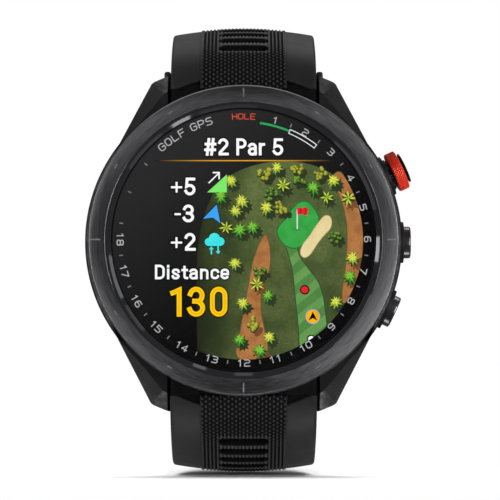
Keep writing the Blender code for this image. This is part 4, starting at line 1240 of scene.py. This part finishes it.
def make_red_button():
    axis = button_axis(BUTTON_ANGLES["red"])
    core = [
        (0.9, 17.8), (0.9, 23.4), (2.4, 23.4), (2.4, 24.48), (1.9, 24.5),
        (1.9, 26.6), (2.32, 26.65), (2.32, 26.88), (1.8, 26.9),
    ]
    rounded = fillet(core, 0.1, 3, closed=False)
    fine = []
    for here, there in zip(rounded, rounded[1:]):
        fine.append(here)
        if here.x > 2.3 and there.x > 2.3 and (there - here).length > 0.3:
            fine += [here.lerp(there, k / 4) for k in (1, 2, 3)]
    fine.append(rounded[-1])
    profile = [(0, 17.8), *fine, (0, 26.9)]

    def ribbed(angle, radius, height):
        """Fine ribs round the collar between the case and the ring."""
        if radius < 2.25 or height > 24.47 or height < 23.44:
            return radius
        return radius - 0.1 * (0.5 - 0.5 * math.cos(40 * angle)) ** 2

    head = turned(profile, 240, axis, shape=ribbed)
    stand_in("red_button", head, NECK)
    low, high, rows = 24.75, 26.35, 30
    outer = [(2.2, low), (2.86, low)]
    outer += [(3.03, low + 0.16 + (high - low - 0.32) * k / rows) for k in range(rows + 1)]
    outer += [(2.86, high), (2.2, high)]
    cells = 44

    def knurled(angle, radius, height):
        """Diamonds: two sets of slanting grooves."""
        if radius < 2.98:
            return radius
        u, v = angle * cells / math.tau, (height - low) / 0.42
        depth = 0.0
        for phase in (u + v, u - v):
            depth += abs(phase - round(phase)) * 2
        rim = smooth_step(0.05, 0.25, height - low) * smooth_step(0.05, 0.25, high - height)
        return radius - 0.11 * rim * (1 - depth / 2) + 0.02

    ring = turned(outer, cells * 8 if FULL else cells * 4, axis, shape=knurled)
    stand_in("red_button_ring", ring, RED, smooth=20.0)


# ---------------------------------------------------------------- strap

UPPER_ARCS = ((6.4, 32.0), (11.7, 50.0), (31.4, 20.0), (28.5, 20.0))
LOWER_ARCS = ((6.4, 32.0), (11.7, 50.0), (98.0, 32.0))
KNUCKLE, PANEL_HALF, PANEL_RAISE, CROWN = 3.3, 6.5, 0.2, 1.0
HEIGHT = ((0.0, 5.1), (3.0, 4.0), (5.0, 3.2), (7.0, 2.5), (9.0, 2.05), (12.0, 1.65), (25.0, 1.45), (130.0, 1.25))
DEPTH = ((0.0, 3.3), (3.0, 2.7), (7.0, 1.95), (12.0, 1.65), (25.0, 1.45), (130.0, 1.25))
HALF_WIDTH = ((0.0, 11.03), (18.0, 11.0), (40.0, 10.45), (70.0, 10.0), (130.0, 9.9))
CROWN_RISE = ((1.0, 0.0), (10.0, 1.0))
RAISE_RISE = ((0.5, 0.0), (2.5, 1.0))
GROOVE_START, GROOVE_PITCH, GROOVE_COUNT, GROOVE_DEPTH = 6.4, 2.25, 8, 0.9
HOLE_START, HOLE_PITCH, HOLE_COUNT, HOLE_HALF = 46.0, 7.0, 9, (1.9, 1.2)
TIP_LENGTH = 9.0
BUCKLE_EYE, BUCKLE_BAR = 1.9, 0.75
FREE_KEEPER_AT, FIXED_KEEPER_AT = 57.5, 69.0
COLUMNS, ROW_PITCH = 23, 0.58


class StrapLine:
    """The neutral line of one strap half, in the Y-Z plane; side is 1 at 12 o'clock and -1 at 6."""

    def __init__(self, arcs, side):
        self.side = side
        self.length = sum(length for length, _ in arcs)
        self.knots = []
        at, y, z, heading = 0.0, BAR_Y, BAR_Z, math.radians(-8.0)
        for length, turn in arcs:
            self.knots.append((at, y, z, heading, -math.radians(turn) / length))
            y, z, heading = self.along(at + length)
            at += length

    def along(self, at):
        start, y, z, heading, bend = [knot for knot in self.knots if knot[0] <= max(at, 0.0)][-1]
        run = at - start
        if at < 0:
            return y + run * math.cos(heading), z + run * math.sin(heading), heading
        end = heading + bend * run
        return y + (math.sin(end) - math.sin(heading)) / bend, z - (math.cos(end) - math.cos(heading)) / bend, end

    def matrix(self, at):
        """A frame on the line: X across the strap, Y along it and Z out of it, away from the wrist."""
        y, z, heading = self.along(at)
        along = Vector((0, self.side * math.cos(heading), math.sin(heading)))
        out = Vector((0, -self.side * math.sin(heading), math.cos(heading)))
        made = Matrix((Vector((self.side, 0, 0)), along, out)).transposed().to_4x4()
        made.translation = (0, self.side * y, z)
        return made


def smoothed(rows, at, reach=1.2):
    """A table's value averaged over a short stretch, so that its slope never jumps."""
    return sum(table(rows, max(0.0, at + reach * (k - 3) / 3)) for k in range(7)) / 7


def surfaces_of_strap(at):
    """The strap's outer and inner surfaces. At its hinge end a lower lip reaches in under the bezel."""
    if at < 0:
        return 4.4 - 1.2 * max(0.0, -at - 2.4) ** 2, math.sqrt(KNUCKLE**2 - at**2)
    return smoothed(HEIGHT, at), smoothed(DEPTH, at)


def slot_share(x, at):
    """How far a point lies in one of the pointed slots, from 0 on the surface to 1 on the floor."""
    nearest = min(max(round((at - GROOVE_START) / GROOVE_PITCH), 0), GROOVE_COUNT - 1)
    off = abs(at - GROOVE_START - nearest * GROOVE_PITCH)
    past = max(0.0, abs(x) - 3.25) / 0.65
    half = 0.74 * (1 - min(past, 1.0) ** 1.7)
    if past >= 1.0:
        return 0.0
    return 1 - smooth_step(half - 0.13, half, off)


def relief_of(x, at, panel):
    """(height, painted light) of the moulded texture on the raised panel at a point."""
    place = x / panel * COLUMNS / 2
    column = round(place)
    rib = 0.5 + 0.5 * math.cos(math.tau * (place - column))
    dots = 1 - 0.85 * smooth_step(2.0, 9.5, at)
    row = 0.5 + 0.5 * math.cos(math.tau * (at / ROW_PITCH + 0.5 * (column % 2)))
    peak = rib**1.3 * ((1 - dots) + dots * row**1.3)
    fade = 1 - smooth_step(27.0, 31.0, at)
    edge = smooth_step(0.0, 0.3, panel - abs(x))
    between = smooth_step(GROOVE_START - 1.4, GROOVE_START - 0.8, at) * (1 - smooth_step(24.0, 25.0, at))
    inside = between * (1 - smooth_step(3.6, 4.1, abs(x)))
    peak = peak * (1 - inside) + inside * (0.35 + 0.65 * rib)
    height = 0.2 * (peak - 1) * fade * edge
    # painted light: below 1 for painted shade between the dots, above 1 for a painted highlight on their tops
    glow = 1.0 if fade * edge < 1e-3 else 1 + fade * edge * ((peak - 1) * 0.97 + 0.9 * peak**3)
    return height, glow


def strap_section(half, top, bottom, at, columns, inner_cut):
    """One loop of (x, z, glow) points, where glow is painted light: flat inside, crowned and textured outside, with
    rounded edges.
    """
    edge = min(0.6, (top + bottom) / 4)
    crown = CROWN * min(1.0, top / 1.5) * table(CROWN_RISE, at)
    raised = PANEL_RAISE * table(RAISE_RISE, at)
    panel = min(PANEL_HALF, 0.6 * half)
    flat_half = half - edge
    points = []
    for k in range(6):
        turn = math.radians(90 * k / 5)
        points.append((flat_half + edge * math.sin(turn), -bottom + edge * (1 - math.cos(turn)), 1.0))
    rim = top - crown * (flat_half / half) ** 2
    for k in range(6):
        turn = math.radians(90 * k / 5)
        points.append((flat_half + edge * math.cos(turn), rim - edge * (1 - math.sin(turn)), 1.0))
    for share in columns:
        x = share * panel if abs(share) <= 1 else math.copysign(panel + (abs(share) - 1) * (flat_half - panel), share)
        z = top - crown * (x / half) ** 2
        glow = 1.0
        if abs(share) <= 1:
            height, glow = relief_of(x, at, panel)
            z += raised + height
            if GROOVE_START - 1 < at < GROOVE_START + GROOVE_PITCH * GROOVE_COUNT:
                sunk = slot_share(x, at)
                z -= GROOVE_DEPTH * sunk
                # painted shade: the slots' floors and walls are darkened
                if sunk > 0.03:
                    glow = 0.05
        elif inner_cut:
            sunk = inner_cut(x)
            z -= 0.75 * sunk
            # painted shade: the wing is darkened where it dips inside the arc round the bezel
            glow = 1 - 0.9 * sunk
        points.append((x, z, glow))
    # painted shade: the lip that reaches in under the bezel is darkened
    if at < 0:
        points = [(x, z, 0.1) for x, z, glow in points]
    left = [(-x, z, glow) for x, z, glow in reversed(points[:12])]  # the 12 points of the right edge, mirrored
    return points + left


def strap_columns():
    """Places across the strap, from 2 at its right edge to -2 at its left: 1 is the panel's edge."""
    fine = 8 if FULL else 4
    wing = [2 - k / (26 if FULL else 14) for k in range(1, 26 if FULL else 14)]
    steps = COLUMNS * fine
    middle = [1 - 2 * k / steps for k in range(steps + 1)]
    return wing + [1.012] + middle + [-1.012] + [-share for share in reversed(wing)]


def strap_stations(line, end, tail):
    fine = 0.075 if FULL else 0.15
    made = [-KNUCKLE * math.cos(math.radians(a)) for a in (4, 14, 26, 38, 50, 62, 74)] + [-0.35, -0.05]
    count = int(25.5 / fine)
    made += [25.5 * k / count for k in range(count + 1)]
    at = 26.0
    while at < end - 0.45:
        made.append(at)
        at += 0.5 if FULL else 1.0
    return made + tail


def strap_shape(line, stations, surfaces, half_width):
    """The strap's skin, with its painted shade and highlight as an attribute of its points."""
    bm = bmesh.new()
    painted_shade_and_highlight = bm.verts.layers.float.new("painted_shade_and_highlight")
    columns = strap_columns()
    loops = []
    for at in stations:
        place = line.matrix(at)
        top, bottom = surfaces(at)
        inner_cut = None
        if 0 <= at < 6:
            surface = (place @ Vector((0, 0, top))).y * line.side

            def inner_cut(x, y=surface):
                reach = math.hypot(x, y - STEP_OFFSET)
                return 1 - smooth_step(STEP_RADIUS - 0.05, STEP_RADIUS + 0.25, reach)

        loop = []
        for x, z, glow in strap_section(half_width(at), top, bottom, at, columns, inner_cut):
            vert = bm.verts.new(place @ Vector((x, 0, z)))
            vert[painted_shade_and_highlight] = glow
            loop.append(vert)
        loops.append(loop)
    bm.faces.new(loops[0][::-1])
    bm.faces.new(loops[-1])
    # painted shade: faces low in painted light take the darker hollow material
    for face in bridged(bm, loops):
        if sum(vert[painted_shade_and_highlight] for vert in face.verts) < 1.7:
            face.material_index = 1
    return bm


def lug_cuts(line):
    bar = Matrix.Translation((0, line.side * BAR_Y, BAR_Z))
    return [disc(1.2, -12, 12, 32, bar @ about_x()), box((7.9, -1.15, -5), (12, 1.15, 0.2), bar)]


def flared_hole(place, top, bottom):
    """A cutter for one strap hole, with its rims flared outwards."""
    sections = []
    for z, grow in ((-bottom - 1.2, 0.95), (-bottom + 0.25, 0.0), (top - 0.3, 0.0), (top + 0.9, 0.95)):
        outline = rounded_rectangle(HOLE_HALF[0] + grow, HOLE_HALF[1] + grow, 1.1 + grow, 7)
        sections.append([place @ Vector((x, y, z)) for x, y in outline])
    return lofted(sections)


def make_upper_strap():
    line = StrapLine(UPPER_ARCS, 1)
    end = line.length

    def surfaces(at):
        if at > end:
            reach = math.sqrt(max(BUCKLE_EYE**2 - (at - end) ** 2, 1e-4))
            return reach, reach
        swelling = table(((end - 5, 0), (end, BUCKLE_EYE)), at)
        return tuple(max(reach, swelling) for reach in surfaces_of_strap(at))

    tail = [end] + [end + BUCKLE_EYE * math.sin(math.radians(a)) for a in (15, 30, 45, 58, 70, 80)]
    stations = strap_stations(line, end, tail)
    skin = strap_shape(line, stations, surfaces, lambda at: table(HALF_WIDTH, at))
    eye = line.matrix(end)
    cuts = lug_cuts(line)
    cuts.append(disc(BUCKLE_BAR + FIT, -12, 12, 24, eye @ about_x()))
    cuts.append(box((-2.0, -2.6, -4), (2.0, 5, 4), eye))
    stand_in("upper_strap", carved(skin, [("DIFFERENCE", cuts)]), [RUBBER, PAINTED_SHADE_HOLLOW], smooth=50.0)
    for node, at in (("free_keeper", FREE_KEEPER_AT), ("fixed_keeper", FIXED_KEEPER_AT)):
        make_keeper(node, line, at)
    make_buckle(line)


def make_lower_strap():
    line = StrapLine(LOWER_ARCS, -1)
    end = line.length

    def half_width(at):
        past = min(1.0, max(0.0, (at - end + TIP_LENGTH) / TIP_LENGTH))
        return table(HALF_WIDTH, at) * (0.25 + 0.75 * math.sqrt(1 - past**2))

    tail = [end - TIP_LENGTH * (1 - math.sin(math.radians(a))) for a in (6, 16, 26, 36, 46, 56, 64, 72, 79, 85, 89)]
    stations = strap_stations(line, end - TIP_LENGTH, tail)
    skin = strap_shape(line, stations, surfaces_of_strap, half_width)
    cuts = lug_cuts(line)
    for number in range(HOLE_COUNT):
        at = HOLE_START + number * HOLE_PITCH
        cuts.append(flared_hole(line.matrix(at), table(HEIGHT, at) + PANEL_RAISE, table(DEPTH, at)))
    stand_in("lower_strap", carved(skin, [("DIFFERENCE", cuts)]), [RUBBER, PAINTED_SHADE_HOLLOW], smooth=50.0)


def make_keeper(node, line, at):
    """A soft-edged rubber loop with a fine rib round each rim."""
    place = line.matrix(at)
    low = -table(DEPTH, at) - 0.45
    upright = place @ Matrix.Translation((0, 0, low + 3.2)) @ Matrix.Rotation(math.radians(90), 4, "X")
    inner = rounded_rectangle(10.75, 3.2, 1.2, 8)
    outer = rounded_rectangle(11.95, 4.4, 2.0, 8)
    across = [
        (-3.0, 0.45), (-2.86, 0.12), (-2.6, 0.0), (-2.1, 0.0), (-1.9, 0.13), (1.9, 0.13), (2.1, 0.0), (2.6, 0.0),
        (2.86, 0.12), (3.0, 0.45),
    ]
    back = [(3.0, 0.8), (2.8, 1.0), (-2.8, 1.0), (-3.0, 0.8)]
    sections = []
    for near, far in zip(outer, inner):
        near, far = Vector(near), Vector(far)
        section = []
        for z, share in across:
            p = near.lerp(far, share / 1.2)
            section.append(upright @ Vector((p.x, p.y, z)))
        for z, share in back:
            p = near.lerp(far, share)
            section.append(upright @ Vector((p.x, p.y, z)))
        sections.append(section)
    stand_in(node, lofted(sections, closed=True), RUBBER, smooth=40.0)


def make_buckle(line):
    eye = line.matrix(line.length)
    bar = [(0, -11.9), (0.5, -11.9), (0.5, -10.3), (0.75, -10.3), (0.75, 10.3), (0.5, 10.3), (0.5, 11.9), (0, 11.9)]
    stand_in("buckle_bar", turned(capped(bar, 0.1, 2), 32, eye @ about_x()), BUCKLE)
    hanging = eye @ Matrix.Rotation(math.radians(-50.0), 4, "X")
    outer_side = [(12.4, 0.0), *bend(10.0, 9.4, 2.4, 2.4, 0, 90)]
    inner_side = [(10.6, 0.0), *bend(9.8, 8.4, 0.8, 0.8, 0, 90)]
    outline = outer_side + [(-x, y) for x, y in reversed(outer_side)]
    outline += [(-x, y) for x, y in inner_side] + [(x, y) for x, y in reversed(inner_side)]
    band = prism(outline, -1.0, 1.0, hanging, 0.3, 3)
    ears = []
    for low, high in ((10.6, 12.4), (-12.4, -10.6)):
        start = [(0, low), (1.5, low), (1.64, low + 0.06), (1.7, low + 0.2)]
        finish = [(1.7, high - 0.2), (1.64, high - 0.06), (1.5, high), (0, high)]
        ears.append(turned(start + finish, 40, hanging @ about_x()))
    made = carved(band, [("UNION", ears), ("DIFFERENCE", [disc(0.8, -14, 14, 32, hanging @ about_x())])])
    stand_in("buckle_frame", made, BUCKLE, smooth=30.0)
    make_tongue(hanging)


def make_tongue(eye):
    """An eye round the bar, and a rounded blade that rises over the frame's cross bar."""
    eye_profile = fillet(((1.05, -1.0), (1.85, -1.0), (1.85, 1.0), (1.05, 1.0)), 0.15, 2)
    tongue = turned(eye_profile, 40, eye @ about_x())
    top = ((1.2, 1.5), (2.6, 2.02), (4.0, 2.4), (6.5, 2.5), (9.0, 2.5), (10.6, 2.3), (11.9, 2.0), (12.35, 1.75))
    under = ((1.2, 0.35), (2.6, 0.8), (4.0, 1.2), (6.5, 1.25), (9.0, 1.3), (10.6, 1.3), (11.9, 1.3), (12.35, 1.4))
    sections = []
    squareness = 0.55  # 1 would make the blade's section an ellipse and 0 a rectangle
    for (y, high), (_, low) in zip(top, under):
        half = 0.9 if y < 10 else 0.9 * math.sqrt(max(1 - ((y - 10) / 2.6) ** 2, 0.06))
        middle, rise = (high + low) / 2, (high - low) / 2
        loop = []
        for k in range(16):
            t = math.tau * (k + 0.5) / 16
            c, s = math.cos(t), math.sin(t)
            x = half * math.copysign(abs(c) ** squareness, c)
            z = middle + rise * math.copysign(abs(s) ** squareness, s)
            loop.append(eye @ Vector((x, y, z)))
        sections.append(loop)
    stand_in("buckle_tongue", carved(tongue, [("UNION", [lofted(sections)])]), BUCKLE, smooth=35.0)


def make_lug_caps():
    """A small rounded stop behind each upper lug's tip, beside the strap."""
    caps = bmesh.new()
    for side in (1, -1):
        place = Matrix.Translation((side * 11.55, 25.25, 0))
        join(caps, prism(rounded_rectangle(0.5, 0.85, 0.35, 4), 3.0, 6.1, place, 0.25))
    piece("upper_lug_caps", caps, GUARD, BODY_OF["case_body"])


def make_lug_bars():
    for name, side in (("upper", 1), ("lower", -1)):
        place = Matrix.Translation((0, side * BAR_Y, BAR_Z))
        tube = ((0, -12.2), (0.5, -12.2), (0.5, -10.4), (0.9, -10.4), (0.9, 7.9), (0.7, 7.9), (0.7, 4.6), (0, 4.6))
        stand_in(f"{name}_lug_bar", turned(capped(tube, 0.08, 2), 32, place @ about_x()), BAR)
        pin = ((0, 6.2), (0.4, 6.2), (0.4, 9.6), (0.5, 9.6), (0.5, 12.2), (0, 12.2))
        release = turned(capped(pin, 0.08, 2), 32, place @ about_x())
        lever = box((9.4, -0.7, -3.0), (10.4, 0.7, 0.1), place, 0.16)
        stand_in(f"{name}_bar_release", carved(release, [("UNION", [lever])]), BAR)


# ---------------------------------------------------------------- case back


def make_case_back():
    plate = prism(clipped_circle(20.6, 17.6, 40, 0.8), 1.2, 2.5, edge=0.18)
    dome = turned(capped(((0, 0.2), (8.6, 0.2), (11.0, 1.25), (11.0, 2.0), (0, 2.0)), 0.6, 4), 96)
    window = turned(((0, -1), (7.15, -1), (7.15, 0.12), (7.0, 0.3), (7.0, 1.3), (0, 1.3)), 96)
    cuts = [window, disc(4.6, 0, 4, 64), prism(port_outline(0, 6), 0, 4)]
    for place in screw_places():
        cuts.append(disc(1.0, 0, 4, 24, place))
        cuts.append(turned(((0, 0), (1.9, 0), (1.9, 1.15), (1.75, 1.35), (1.75, 1.85), (0, 1.85)), 40, place))
    steps = [("UNION", [dome]), ("DIFFERENCE", cuts)]
    stand_in("case_back", carved(plate, steps), POLYMER, smooth=24.0)
    pane = capped(((0, 0.0), (6.5, 0.0), (6.7, 0.2), (6.7, 1.0), (0, 1.0)), 0.15)
    window_glass = stand_in("sensor_window", turned(pane, 96), SENSOR_GLASS)
    window_glass.visible_shadow = False
    for number, place in enumerate(screw_places(), 1):
        head = ((0, 1.05), (1.25, 1.05), (1.45, 1.05), (1.45, 1.55), (0.5, 1.55), (0.5, 6.4), (0, 6.4))
        socket = turned(((0, 0.5), (0.78, 0.5), (0.78, 1.06), (0.65, 1.14), (0.65, 1.4), (0, 1.4)), 6, place)
        screw = carved(turned(capped(head, 0.12), 40, place), [("DIFFERENCE", [socket])])
        stand_in(f"case_back_screw_{number}", screw, SCREW, smooth=30.0)
    make_sensor()


def port_outline(shrink, steps=5):
    half_x, half_y = 3.7 - shrink, 2.2 - shrink
    return [(x, y - 12.9) for x, y in rounded_rectangle(half_x, half_y, 0.8 - shrink / 2, steps)]


def make_sensor():
    """The sensor's board with four two-lamp packages round a light detector."""
    bm = disc(5.6, 2.8, 3.6, 64)
    for quarter in range(4):
        angle = math.radians(45 + 90 * quarter)
        place = Matrix.Translation((2.9 * math.cos(angle), 2.9 * math.sin(angle), 0))
        join(bm, box((-0.7, -0.6, 2.0), (0.7, 0.6, 3.0), place, 0.08), finish=1)
        for dx, finish in ((-0.32, 2), (0.32, 3)):
            join(bm, box((dx - 0.22, -0.3, 1.92), (dx + 0.22, 0.3, 2.4), place, 0.05), finish=finish)
    join(bm, box((-1.0, -1.0, 1.8), (1.0, 1.0, 3.0), edge=0.1), finish=4)
    join(bm, box((-0.75, -0.75, 1.72), (0.75, 0.75, 2.2), edge=0.06), finish=5)
    stand_in("sensor_module", bm, [BOARD, PACKAGE, DIE_GREEN, DIE_RED, PACKAGE, CHIP])
    block = prism(port_outline(FIT), 1.9, 3.2, edge=0.08)
    flange = [(x, y - 12.9) for x, y in rounded_rectangle(4.6, 3.0, 0.8)]
    join(block, prism(flange, 2.8, 3.6), finish=0)
    for x in (-2.1, -0.7, 0.7, 2.1):
        pin = rounded_rectangle(0.35, 0.9, 0.3, 4)
        join(block, prism([(x + px, py - 12.9) for px, py in pin], 1.5, 2.4, edge=0.14, steps=3), finish=1)
    stand_in("charging_connector", block, [INNER_PLASTIC, GOLD])


def make_board_parts():
    """Small chips and parts on the main board's two faces, inside the case."""
    rng = random.Random(3)
    bm = bmesh.new()
    for _ in range(26):
        x, y = rng.uniform(-13, 13), rng.choice((-1, 1)) * rng.uniform(9.6, 13.0)
        if y > 0 and abs(x) < 8.5:
            x = math.copysign(rng.uniform(9.2, 12.5), x)
        half_x, half_y = rng.uniform(0.25, 0.9), rng.uniform(0.25, 0.7)
        if math.hypot(abs(x) + half_x, abs(y) + half_y) > 16.5:
            continue
        join(
            bm,
            box((x - half_x, y - half_y, 9.1), (x + half_x, y + half_y, 9.1 + rng.uniform(0.25, 0.7)), edge=0.05),
            finish=rng.choice((0, 1)),
        )
    piece("board_parts", bm, [CHIP, CERAMIC], "watch_head")


make_case()
make_bezel()
make_display()
make_buttons()
make_upper_strap()
make_lower_strap()
make_lug_caps()
make_lug_bars()
make_case_back()
make_board_parts()

# ---------------------------------------------------------------- stage, light and camera


def make_stage():
    """A plain pale floor just under the strap's lowest point."""
    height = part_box("lower_strap")[0].z - 0.0004
    mesh = bpy.data.meshes.new("floor")
    half = 3.0
    corners = [(x * half, y * half, height) for x, y in ((-1, -1), (1, -1), (1, 1), (-1, 1))]
    mesh.from_pydata(corners, [], [(0, 1, 2, 3)])
    floor = bpy.data.objects.new("floor", mesh)
    bpy.context.scene.collection.objects.link(floor)
    pale = Finish("floor_pale", Roughness=0.9, Specular_IOR_Level=0.1)
    pale.set("Base Color", pale.blend(pale.noise(60.0), (0.86, 0.86, 0.86, 1), (0.88, 0.88, 0.88, 1)))
    tree = pale.tree
    far = add_node(tree, "ShaderNodeVectorMath", {0: pale.place}, operation="LENGTH").outputs["Value"]
    glow = add_node(tree, "ShaderNodeEmission", {"Strength": 1.0})
    share = pale.spread(far, 0.0, 1.0, 0.045, 0.11)
    mixed = add_node(tree, "ShaderNodeMixShader", {0: share, 1: pale.shader.outputs[0], 2: glow.outputs[0]})
    tree.links.new(mixed.outputs[0], tree.nodes["Material Output"].inputs[0])
    mesh.materials.append(pale.material)
    floor.visible_glossy = False


def area_light(name, around, off, distance, size, power, only=None):
    """A soft light aimed at the dial's centre. around is its direction seen from the front, in degrees from
    3 o'clock anticlockwise, and off is its angle off the dial's axis. size is along that circle and across it.
    only names the one object that it lights, as a card that the floor doesn't hide."""
    turn, tilt = math.radians(around), math.radians(off)
    way = Vector((math.sin(tilt) * math.cos(turn), -math.cos(tilt), math.sin(tilt) * math.sin(turn)))
    along = Vector((-math.sin(turn), 0, math.cos(turn)))
    data = bpy.data.lights.new(name, "AREA")
    data.shape = "RECTANGLE"
    data.size, data.size_y = size
    data.energy = power
    light = bpy.data.objects.new(name, data)
    frame_of_light = Matrix((along, way.cross(along), way)).transposed().to_4x4()
    light.matrix_world = Matrix.Translation(way * distance) @ frame_of_light
    light.visible_camera = False
    bpy.context.scene.collection.objects.link(light)
    if only:
        group = bpy.data.collections.new(f"{name}_receiver")
        group.objects.link(bpy.data.objects[only])
        light.light_linking.receiver_collection = group
        if only != "floor":
            light.light_linking.blocker_collection = group


def chamfer_card(number, middle, half, level):
    """A card that the bezel's chamfer mirrors as a patch round middle, half degrees to each side."""
    turn = math.radians(middle)
    length, width = math.tan(math.radians(half) * 0.867), 0.1
    power = 22.4 * level * length * width
    around, off = middle + 180 - 4 * math.cos(turn), 80 - 4 * math.sin(turn)
    area_light(f"card_{number}", around, off, 0.5, (length, width), power, "bezel_detail")


def make_light():
    world = bpy.data.worlds.new("studio")
    world.use_nodes = True
    bpy.context.scene.world = world
    tree = world.node_tree
    seen = add_node(tree, "ShaderNodeBackground", {"Color": (1, 1, 1, 1), "Strength": 1.0})
    fill = add_node(tree, "ShaderNodeBackground", {"Color": (1, 1, 1, 1), "Strength": 0.125})
    direct = add_node(tree, "ShaderNodeLightPath").outputs["Is Camera Ray"]
    mixed = add_node(tree, "ShaderNodeMixShader", {0: direct, 1: fill.outputs[0], 2: seen.outputs[0]})
    tree.links.new(mixed.outputs[0], tree.nodes["World Output"].inputs[0])
    area_light("key", 118, 27, 0.6, (0.07, 0.22), 0.056)
    area_light("over", 90, 122, 0.5, (0.5, 0.25), 0.26)
    area_light("left", 180, 48, 0.6, (0.4, 0.2), 1.45)
    area_light("right", 0, 48, 0.6, (0.4, 0.2), 2.05)
    area_light("upper_left", 140, 60, 0.6, (0.25, 0.25), 0.1)
    area_light("low_right", -20, 30, 0.2, (0.05, 0.06), 0.019)
    area_light("above_floor", 90, 104, 0.5, (0.7, 0.5), 7.0, "floor")
    area_light("low_card", 270, 45, 0.6, (0.3, 0.1), 0.4, "bezel_detail")
    area_light("low_sheen", 270, 85, 0.5, (0.5, 0.2), 0.4, "lower_strap_detail")
    for name, angle in BUTTON_ANGLES.items():
        area_light(f"{name}_glint_under", angle - 90, 90, 0.5, (0.3, 0.15), 0.45, f"{name}_button_detail")
        area_light(f"{name}_glint_over", angle + 90, 112, 0.5, (0.3, 0.12), 0.3, f"{name}_button_detail")
    cards = (
        (-4.3, 6, 0.38), (30, 20, 0.027), (97, 15, 0.012), (118, 5, 0.28), (138, 12, 0.021),
        (196.5, 10.5, 0.1), (216, 7, 0.033), (251, 3, 0.08), (270, 4, 0.038),
    )
    for number, (middle, half, level) in enumerate(cards):
        chamfer_card(number, middle, half, level)


def make_camera():
    """Seen straight on from slightly below, from 0.39 m before the bezel."""
    lo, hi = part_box("bezel")
    aim = Vector((0, lo.y, 0))
    tilt = math.radians(4)
    distance, sensor, shown_width = 0.39, 36, 0.074184  # shown_width is what the picture spans at the bezel
    away = Vector((0, -math.cos(tilt), -math.sin(tilt)))
    data = bpy.data.cameras.new("camera")
    data.sensor_width = sensor
    data.lens = sensor * distance / shown_width
    data.shift_x, data.shift_y = 0.0128, -0.0214
    data.clip_start, data.clip_end = 0.01, 10
    camera = bpy.data.objects.new("camera", data)
    camera.location = aim + away * distance
    camera.rotation_euler = (-away).to_track_quat("-Z", "Y").to_euler()
    bpy.context.scene.collection.objects.link(camera)
    bpy.context.scene.camera = camera


make_stage()
make_light()
make_camera()
bpy.context.scene.view_settings.view_transform = "Standard"
